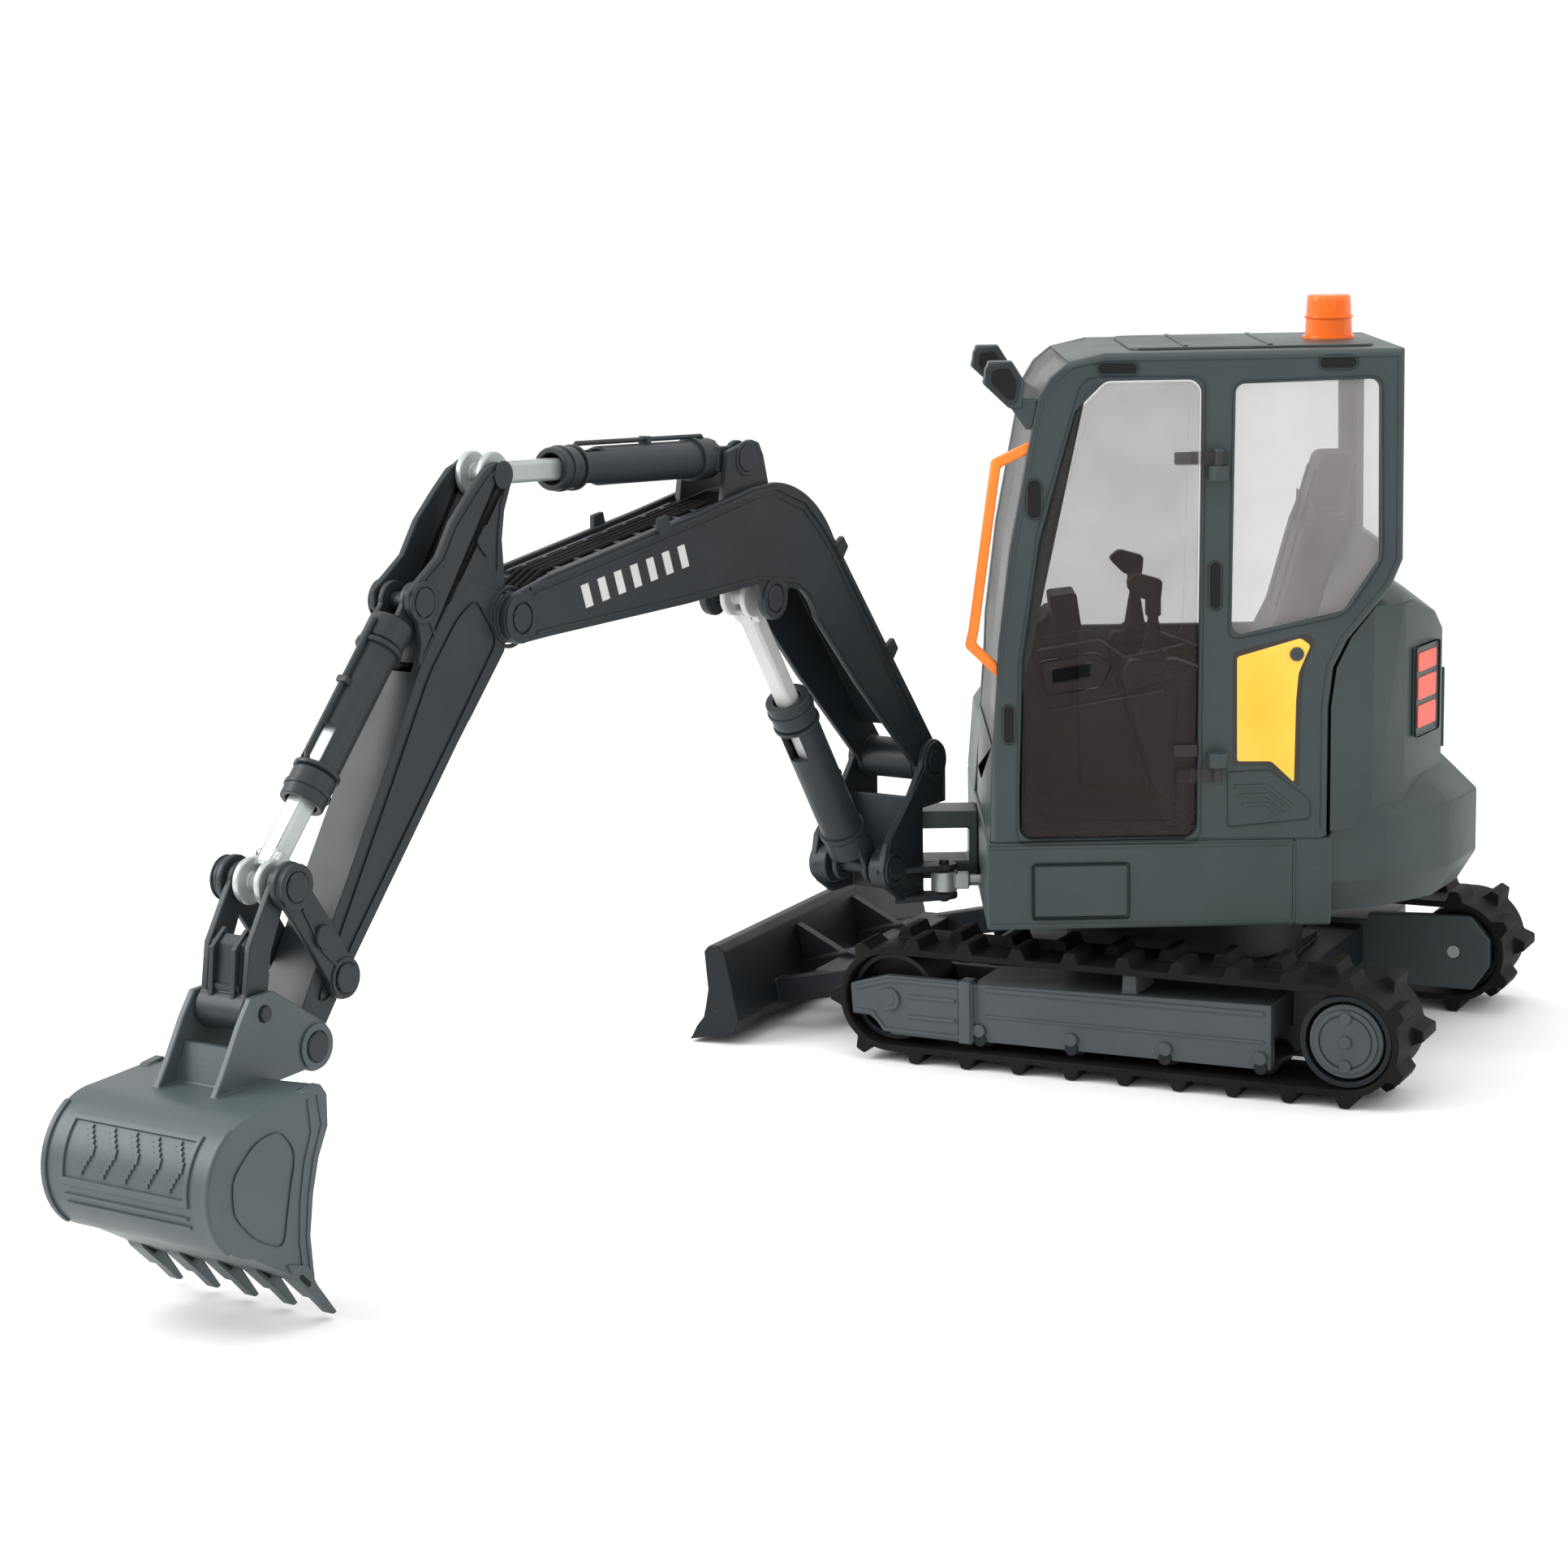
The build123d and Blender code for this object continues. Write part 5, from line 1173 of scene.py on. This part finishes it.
    def _rear_vent(self) -> None:
        """Add the vent with nested chevrons behind the door's foot."""
        form = Form(HOUSE_SPACE)
        out = self.left
        form.rim(rounded([(-4.2, 68.0), (-13.2, 68.4), (-21.9, 61.7), (-22.0, 57.5), (-4.2, 56.0)], 0.9),
                 0.55, out - 0.1, out + 0.35, 0.1)
        for step in range(3):
            d = 2.2 + 2.0 * step
            form.rib([(-4.8 - d * 0.4, 67.0 - d), (-12.2 - d * 0.1, 67.1 - d),
                      (-20.4 + d * 0.9, 60.8 - d * 0.35)], 0.7, out - 0.1, out + 0.3, 0.12)
        form.piece("cab_vent", "cab_shell", SLATE)

    def _mirrors(self) -> None:
        """Add the mirrors' rims and glasses."""
        glass = Form(HOUSE_SPACE)
        case = Form(HOUSE_SPACE)
        for y in (45.4, -10.5):
            case.slab(rounded([(40.2, 147.4), (42.4, 146.9), (47.3, 151.6), (47.0, 155.6), (41.6, 156.4),
                               (39.3, 152.2)], 1.2), y - 2.6, y + 2.4, 0.5)
            glass.slab(rounded([(40.9, 148.6), (42.2, 148.2), (45.9, 152.0), (45.7, 154.6), (42.2, 155.2),
                                (40.4, 152.0)], 0.9), y + 2.3, y + 2.5, 0.05)
        case.piece("mirror_cases", "mirror_left", CHARCOAL)
        glass.piece("mirror_faces", "mirror_left", DARK)

    def _beacon_trim(self) -> None:
        """Add the beacon's foot, its inner ribs and its cap."""
        at = self.beacon
        foot = Form(HOUSE_SPACE)
        foot.post(at, 5.7, 157.6, 159.0, 0.3)
        foot.post(at, 5.3, 162.6, 163.2, 0.15)
        foot.piece("beacon_foot", "beacon", AMBER)
        core = Form(HOUSE_SPACE)
        for spot in arc(at, 3.0, 0.0, 360.0, self.beacon_bars)[:-1]:
            core.post(spot, 0.5, 158.4, 166.4, 0.1, sides=12)
        core.post(at, 1.8, 158.4, 165.0, 0.4)
        core.piece("beacon_core", "beacon", ORANGE)

    def _seat_trim(self) -> None:
        """Add the seat's seams, the levers' grips and the display."""
        seat = Form(HOUSE_SPACE)
        for y in (12.0, 23.0):
            seat.slab([(-17.2, 100.4), (-22.2, 118.4), (-25.6, 130.4), (-26.4, 130.2), (-23.0, 118.0),
                       (-18.0, 100.0)], y - 0.5, y + 0.5, 0.1)
        seat.block((-12.0, 5.0, 76.6), (4.0, 30.0, 79.0), 0.5)
        seat.piece("seat_seams", "seat", SEAT)
        grips = Form(HOUSE_SPACE)
        for y in (38.8, -4.8):
            grips.slab(rounded([(9.4, 104.4), (9.0, 108.6), (14.6, 110.2), (17.0, 108.2), (13.4, 104.6)],
                               0.9), y - 1.5, y + 1.5, 0.4)
            grips.post((11.0, y), 3.0, 91.4, 93.4, 0.5)
        grips.slab(rounded([(24.4, 94.6), (25.6, 102.8), (31.6, 102.2), (30.6, 94.0)], 0.8), 2.0, 14.0, 0.4)
        grips.piece("lever_grips", "control_levers", INSIDE)

    @staticmethod
    def _round_outline(part: bmesh.types.BMesh) -> None:
        """Round the long edges where the cab's sides meet its roof, front and back.

        Args:
            part: the shell's merged mesh.
        """
        toward = HOUSE_SPACE.left
        middle = part_centre(part)
        foot = 54 * MM

        def wide(face: bmesh.types.BMFace) -> bool:
            """Tell whether a face runs across the cab."""
            reach = [v.co.dot(toward) for v in face.verts]
            return abs(face.normal.dot(toward)) < 0.1 and max(reach) - min(reach) > 10 * MM

        chosen = []
        for edge in part.edges:
            if len(edge.link_faces) != 2 or edge.calc_face_angle(0) < math.radians(60):
                continue
            sides = [f for f in edge.link_faces if abs(f.normal.dot(toward)) > 0.99]
            across = [f for f in edge.link_faces if wide(f)]
            high = max(v.co.z for v in edge.verts) >= foot
            out = edge.verts[0].co - middle
            if len(sides) == len(across) == 1 and high and across[0].normal.dot(out) > 0:
                chosen.append(edge)
        bmesh.ops.bevel(part, geom=chosen, offset=1.9 * MM, offset_type="OFFSET", segments=4, profile=0.5,
                        affect="EDGES", material=-1, clamp_overlap=False)


@dataclass
class House:
    """Skirt, counterweight, engine hood, right cover and swing bracket.

    Attributes:
        side: outer face of the skirt.
        lamp_inner: inner end of the left tail lamp's wall, forward and left.
        lamp_outer: its outer end.
    """

    side: float = 47.4
    lamp_inner: Point2 = (-55.4, 16.0)
    lamp_outer: Point2 = (-43.8, 36.6)

    def build(self) -> None:
        """Dress the house's nodes and add the trim."""
        for node in ("house_base", "counterweight", "right_cover", "swing_bracket"):
            soften(node, SLATE, 0.5, 3)
        soften("engine_hood", SLATE, 0.6, 3)
        soften("tail_lights", SLATE, 0.3)
        soften("swing_pin", SLATE, 0.3)
        self._skirt()
        self._hood_trim()
        self._lamps()

    def _skirt(self) -> None:
        """Add the skirt's raised frame, seam and steps."""
        form = Form(HOUSE_SPACE)
        out = self.side
        form.rim(rounded([(37.9, 48.6), (16.8, 48.6), (16.8, 36.2), (37.9, 36.2)], 0.9), 0.7, out - 0.1,
                 out + 0.5, 0.15)
        form.rib([(-18.6, 34.6), (-18.6, 52.6)], 0.5, out - 0.1, out + 0.2, 0.1)
        form.rib([(47.0, 52.2), (-18.4, 52.2)], 0.6, out - 0.1, out + 0.3, 0.12)
        form.rib([(46.8, 35.0), (-18.4, 35.0)], 0.5, out - 0.1, out + 0.25, 0.1)
        form.mirrored()
        form.piece("skirt_trim", "house_base", SLATE)

    def _hood_trim(self) -> None:
        """Add panel lines and vents to the hood and the right cover."""
        form = Form(HOUSE_SPACE)
        for z in (60.0, 63.4, 66.8, 70.2, 73.6, 77.0):
            form.block((-20.0, -47.6, z), (16.0, -47.1, z + 1.2), 0.2)
        form.rim(rounded([(22.0, 82.0), (-22.0, 82.0), (-22.0, 57.0), (22.0, 57.0)], 2.0), 0.6, -47.3, -47.65,
                 0.15)
        form.piece("right_cover_trim", "right_cover", SLATE)
        rear = Form(HOUSE_SPACE)
        for y in (-9.0, -5.4, -1.8, 1.8, 5.4, 9.0):
            rear.block((-57.2, y - 0.6, 66.0), (-56.4, y + 0.6, 84.0), 0.2)
        rear.piece("hood_grille", "engine_hood", SLATE)

    def _lamps(self) -> None:
        """Add the tail lamps' frames, their light panes and red marks."""
        turn = HOUSE_SPACE.matrix().to_3x3().normalized()
        for side in Side:
            start = Vector((self.lamp_outer[0], self.lamp_outer[1] * side.value, 0))
            end = Vector((self.lamp_inner[0], self.lamp_inner[1] * side.value, 0))
            along = (end - start).normalized()
            out = Vector((along.y, -along.x, 0)) * side.value
            base = HOUSE_SPACE.matrix() @ (start + along * 11.5)
            lamp = Space(base, turn @ (along * -side.value), turn @ out)
            rim = Form(lamp)
            rim.rim(rounded([(7.6, 92.2), (-7.6, 92.2), (-7.6, 72.2), (7.6, 72.2)], 1.2), 0.8, 0.6, 1.2, 0.2)
            rim.piece(f"lamp_frame_{side.label}", "tail_lights", SLATE)
            pane = Form(lamp)
            for low, high in ((74.0, 79.0), (80.2, 85.2), (86.4, 90.6)):
                pane.slab(rounded([(5.8, high), (-5.8, high), (-5.8, low), (5.8, low)], 0.8), 0.6, 0.95, 0.12)
            pane.piece(f"lamp_marks_{side.label}", "tail_lights", RED)


# ---------------------------------------------------------------------------------------------
# Working arm
# ---------------------------------------------------------------------------------------------
@dataclass
class WorkingArm:
    """Swing post, boom, arm, cylinders, linkage and bucket.

    Attributes:
        boom_half: half the boom's width.
        curve_centre: centre of the bucket's curved back, forward and up.
        curve_radius: its radius.
        emboss_half: half the width of the frame embossed on it.
        bucket_half: half the bucket's width.
        teeth: teeth on its lip.
        stripes: bars on each side of the boom.
    """

    boom_half: float = 8.0
    curve_centre: Point2 = (239.01, 29.07)
    curve_radius: float = 12.74
    emboss_half: float = 14.6
    bucket_half: float = 19.7
    teeth: int = 5
    stripes: int = 7

    def build(self) -> None:
        """Dress the arm's nodes and add the trim."""
        for node in ("swing_post", "boom", "arm", "rocker_links", "bucket_coupler", "boom_pins", "arm_pins",
                     "rocker_pins", "link_pin", "swing_post_pins", "boom_barrel", "arm_barrel",
                     "bucket_barrel"):
            soften(node, CHARCOAL, 0.3)
        soften("swing_rod", SILVER, 0.3)
        soften("boom_rod", LIGHT_GREY, 0.35)
        soften("arm_rod", SILVER, 0.35)
        soften("bucket_rod", SILVER, 0.35)
        soften("bucket", BUCKET_GREY, 0.35, 3)
        self._boom_trim()
        self._deck()
        self._post_trim()
        self._arm_trim()
        self._cylinder("boom_barrel", "boom_rod_slide", 4.6, 50.0)
        self._cylinder("arm_barrel", "arm_rod_slide", 3.9, 58.0)
        self._cylinder("bucket_barrel", "bucket_rod_slide", 3.9, 45.0)
        self._linkage()
        self._bucket_back()
        self._bucket_sides()

    def _boom_trim(self) -> None:
        """Add the boom's double rim line, bosses and clips."""
        form = Form(BOOM_SPACE)
        side = self.boom_half
        crest = [(6.0, 71.4), (18.8, 89.4), (39.2, 115.6), (43.8, 120.6), (49.9, 126.0), (60.0, 129.8),
                 (67.8, 129.5), (88.7, 126.3), (137.0, 119.6), (143.0, 118.9)]
        outer = [(4.6, 73.4), (18.0, 91.2), (38.4, 117.3), (43.0, 122.2), (49.2, 127.5), (60.0, 131.5),
                 (67.9, 131.2), (88.9, 127.9), (137.4, 121.2), (144.2, 120.1)]
        belly = [(10.4, 68.8), (30.6, 88.0), (44.4, 102.6), (47.2, 107.4), (52.0, 110.6), (55.8, 111.4),
                 (67.2, 113.2), (92.8, 112.3), (138.0, 111.6), (142.6, 111.4)]
        for path, width, rise in ((crest, 0.45, 0.25), (outer, 0.8, 0.4), (belly, 0.6, 0.3)):
            form.rib(path, width, side - 0.2, side + rise, 0.12)
        for at, radius in (((61.4, 108.3), 4.4), ((147.2, 114.9), 4.9)):
            form.ring(at, radius, 3.1, side - 0.2, side + 0.5, 0.2)
        form.ring((68.5, 138.3), 3.6, 2.8, 6.0, 6.6, 0.15)
        for at, turn in (((35.2, 117.0), 52.0), ((15.4, 92.2), 53.0), ((101.0, 128.6), -8.0)):
            ahead = Vector((math.cos(math.radians(turn)), math.sin(math.radians(turn))))
            up = Vector((-ahead.y, ahead.x))
            corner = [Vector(at) + ahead * a + up * b for a, b in ((-2.2, -2.6), (2.2, -2.6), (1.6, 0.9),
                                                                   (-1.6, 0.9))]
            form.slab([(c.x, c.y) for c in corner], side - 0.4, side + 0.8, 0.25)
        form.mirrored()
        form.piece("boom_trim", "boom", CHARCOAL)
        stripes = Form(BOOM_SPACE)
        for k in range(self.stripes):
            r = 92.0 + 5.4 * k
            z = 118.6 - 0.125 * (r - 92.0)
            stripes.slab([(r, z), (r + 2.4, z - 0.3), (r + 4.0, z + 4.3), (r + 1.6, z + 4.6)], side - 0.05,
                         side + 0.06, 0.0)
        stripes.mirrored()
        stripes.piece("boom_stripes", "boom", PALE_INK)

    def _deck(self) -> None:
        """Add the rails and cross ribs on the boom's deck, and its hoses."""
        form = Form(BOOM_SPACE)
        for l in (5.0, -5.0):
            form.rib([(80.0, 129.2), (88.6, 127.9), (134.6, 121.4)], 1.1, l - 0.5, l + 0.5, 0.2)
        for k in range(8):
            r = 84.0 + 6.6 * k
            z = 127.95 - 0.1425 * (r - 88.4)
            form.slab([(r - 0.6, z - 0.8), (r + 0.6, z - 0.9), (r + 0.6, z + 0.5), (r - 0.6, z + 0.6)], -5.0,
                      5.0, 0.15)
        form.piece("deck_rails", "boom", CHARCOAL)
        hose = Form(BOOM_SPACE)
        for l in (-2.6, -0.9, 0.9, 2.6):
            hose.tube([(78.0, l, 129.8), (88.5, l, 128.3), (112.0, l, 125.0), (134.0, l, 121.9),
                       (140.0, l, 119.2)], 0.55)
        hose.piece("deck_hoses", "boom", RUBBER)

    def _post_trim(self) -> None:
        """Add rims and bosses on the swing post's cheeks."""
        form = Form(BOOM_SPACE)
        outer = 9.9
        form.rib([(-2.6, 55.2), (-2.8, 63.6), (1.2, 67.6), (4.8, 63.4), (12.0, 56.4), (20.4, 48.6),
                  (21.9, 42.3), (19.6, 38.8), (15.0, 35.8), (7.2, 35.8)], 0.6, outer - 0.1, outer + 0.35,
                 0.12)
        form.ring((1.0, 64.0), 4.6, 3.0, outer - 0.1, outer + 0.5, 0.2)
        form.ring((18.4, 42.3), 4.2, 3.0, outer - 0.1, outer + 0.5, 0.2)
        form.mirrored()
        form.piece("post_trim", "swing_post", CHARCOAL)

    def _arm_trim(self) -> None:
        """Add the arm's panel line, horn pads and bosses."""
        form = Form(BOOM_SPACE)
        side = 5.3
        form.rim(rounded([(151.6, 111.0), (165.6, 95.4), (196.4, 61.5), (203.6, 52.4), (206.6, 52.6),
                          (197.8, 66.6), (183.0, 89.6), (171.8, 107.4), (163.2, 116.6), (157.6, 119.8)], 2.2),
                 0.6, side - 0.1, side + 0.35, 0.12)
        form.ring((200.6, 56.0), 3.8, 2.8, side - 0.1, side + 0.25, 0.1)
        form.ring((147.2, 114.9), 6.0, 5.2, 4.8, 5.4, 0.15)
        horn = 4.9
        form.rib([(150.2, 124.0), (149.6, 131.0), (148.4, 136.4), (146.2, 140.8), (148.6, 143.2),
                  (152.0, 141.8), (156.4, 138.2), (161.6, 133.6), (165.8, 127.8), (171.0, 124.6)], 0.5,
                 horn - 0.1, horn + 0.3, 0.12)
        form.slab(rounded([(150.6, 130.0), (153.6, 133.4), (156.4, 130.2), (153.4, 126.8)], 0.7), horn - 0.1,
                  horn + 0.5, 0.2)
        form.ring((172.0, 120.7), 4.0, 2.9, horn - 0.1, horn + 0.4, 0.15)
        form.ring((147.6, 142.0), 2.6, 1.9, horn - 0.1, horn + 0.4, 0.12)
        form.rib([(168.6, 112.6), (170.6, 117.0), (173.4, 118.2)], 0.5, horn - 0.1, horn + 0.3, 0.1)
        form.mirrored()
        form.piece("arm_trim", "arm", CHARCOAL)

    def _cylinder(self, name: str, slide: str, radius: float, length: float) -> None:
        """Add a barrel's rings, pipe and pipe clamps.

        Args:
            name: the barrel's node.
            slide: the joint of its rod.
            radius: the barrel's radius.
            length: from its base pin to its mouth.
        """
        form = Form(cylinder_space(name + "_pivot", slide))
        for x, wide in ((10.6, 1.0), (length - 7.2, 0.8), (length - 3.2, 0.9)):
            form.band(radius - 0.4, radius + 0.65, x, x + wide, 0.12)
        up = radius + 0.75
        form.tube([(6.6, 0, radius - 0.2), (7.6, 0, up), (length - 8.4, 0, up),
                   (length - 7.2, 0, radius - 0.2)], 0.55)
        form.block((length * 0.45, -1.2, radius - 0.3), (length * 0.45 + 1.4, 1.2, up + 0.7), 0.25)
        form.piece(name + "_trim", name, CHARCOAL)

    def _linkage(self) -> None:
        """Add bosses, dimples and ribs on the rockers and the coupler."""
        form = Form(BOOM_SPACE)
        outer = 7.1
        form.ring((213.8, 75.4), 4.2, 2.9, outer + 1.0, outer + 1.5, 0.15)
        form.ring((200.6, 56.0), 3.8, 2.9, outer - 0.1, outer + 0.35, 0.12)
        form.disc((206.3, 64.8), 2.2, outer - 0.1, outer + 0.9, 0.3)
        form.rib([(202.6, 58.6), (206.3, 62.0), (211.2, 70.8)], 0.6, outer - 0.1, outer + 0.3, 0.1)
        form.mirrored()
        form.piece("rocker_trim", "rocker_links", CHARCOAL)
        web = Form(BOOM_SPACE)
        for l in (-2.6, 2.6):
            web.slab([(221.0, 68.6), (224.6, 65.6), (225.6, 56.6), (224.6, 56.4), (223.6, 64.6),
                      (220.6, 67.4)], l - 0.5, l + 0.5, 0.15)
        web.block((223.6, -3.6, 58.0), (224.9, 3.6, 59.2), 0.2)
        web.piece("coupler_ribs", "bucket_coupler", CHARCOAL)

    def _bucket_back(self) -> None:
        """Add the embossed frame, lines and nested chevrons on the bucket's curved back."""
        form = Form(BOOM_SPACE)
        half = self.emboss_half

        def wrap(start: float, end: float, width: float, left: float, right: float, edge: float,
                 steps: int = 2) -> None:
            """Add a strip round the back between two angles."""
            form.rib(arc(self.curve_centre, self.curve_radius, start, end, steps), width, left, right, edge)

        for start in (52.0, 0.0):
            wrap(start, start - 6.0, 0.9, -half, half, 0.15)
        for l in (-half, half):
            wrap(52.0, -6.0, 0.9, l - 0.5, l + 0.5, 0.15, steps=10)
        for start in (-14.0, -22.0):
            wrap(start, start - 2.6, 0.8, -half, half, 0.12)
        for l in (-18.9, 18.9):
            wrap(62.0, -52.0, 1.0, l - 0.6, l + 0.6, 0.2, steps=16)
        for k in range(5):
            for i in range(10):
                high = 44.0 - 4.0 * i
                off = 0.52 * (i + 0.5 if i < 5 else 9.5 - i)
                middle = -10.4 + 5.2 * k + off
                wrap(high + 0.4, high - 4.4, 0.7, middle - 0.55, middle + 0.55, 0.0)
        form.piece("bucket_emboss", "bucket", BUCKET_GREY)

    def _bucket_sides(self) -> None:
        """Add side ribs, tooth adapters and ear bosses."""
        form = Form(BOOM_SPACE)
        half = self.bucket_half
        form.rib([(226.0, 41.2), (225.4, 35.4), (227.6, 30.0), (229.0, 23.6), (229.6, 16.6), (229.0, 10.4)],
                 0.6, half - 0.1, half + 0.3, 0.1)
        form.rib([(223.6, 41.4), (222.7, 36.0), (225.2, 30.4), (226.9, 24.0), (227.8, 16.6), (227.2, 10.2)],
                 0.45, half - 0.1, half + 0.25, 0.1)
        form.rim(rounded([(233.6, 37.8), (240.0, 37.0), (246.0, 32.0), (246.0, 25.4), (241.0, 20.0),
                          (234.0, 16.4), (231.8, 26.0), (229.8, 33.0)], 2.4), 0.6, half - 0.1, half + 0.3,
                 0.12)
        form.ring((209.7, 45.4), 4.2, 2.9, 7.4, 8.0, 0.15)
        form.mirrored()
        form.piece("bucket_side_trim", "bucket", BUCKET_GREY)
        teeth = Form(BOOM_SPACE)
        slots = Form(BOOM_SPACE)
        for k in range(self.teeth):
            l = -half + 1.3 + k * (2 * half - 2.6) / (self.teeth - 1)
            teeth.slab(rounded([(233.4, 13.4), (231.0, 9.6), (226.0, 4.8), (225.0, 5.8), (228.2, 11.8)], 0.5),
                       l - 1.7, l + 1.7, 0.25)
            # Near-black capsule across each tooth adapter: painted shade standing in for the pin slot's hollow.
            slots.slab(capsule((230.0, 10.2), (228.2, 8.4), 0.5), l - 1.75, l + 1.75, 0.0)
        teeth.piece("tooth_adapters", "bucket", BUCKET_GREY)
        slots.piece("tooth_slots", "bucket", DARK)


def main() -> None:
    """Build every assembly in order."""
    logging.basicConfig(level=logging.INFO, format="%(message)s")
    for part in (Studio(), Undercarriage(), House(), Cab(), WorkingArm()):
        log.info("building %s", type(part).__name__)
        part.build()


if __name__ == "__main__":
    main()
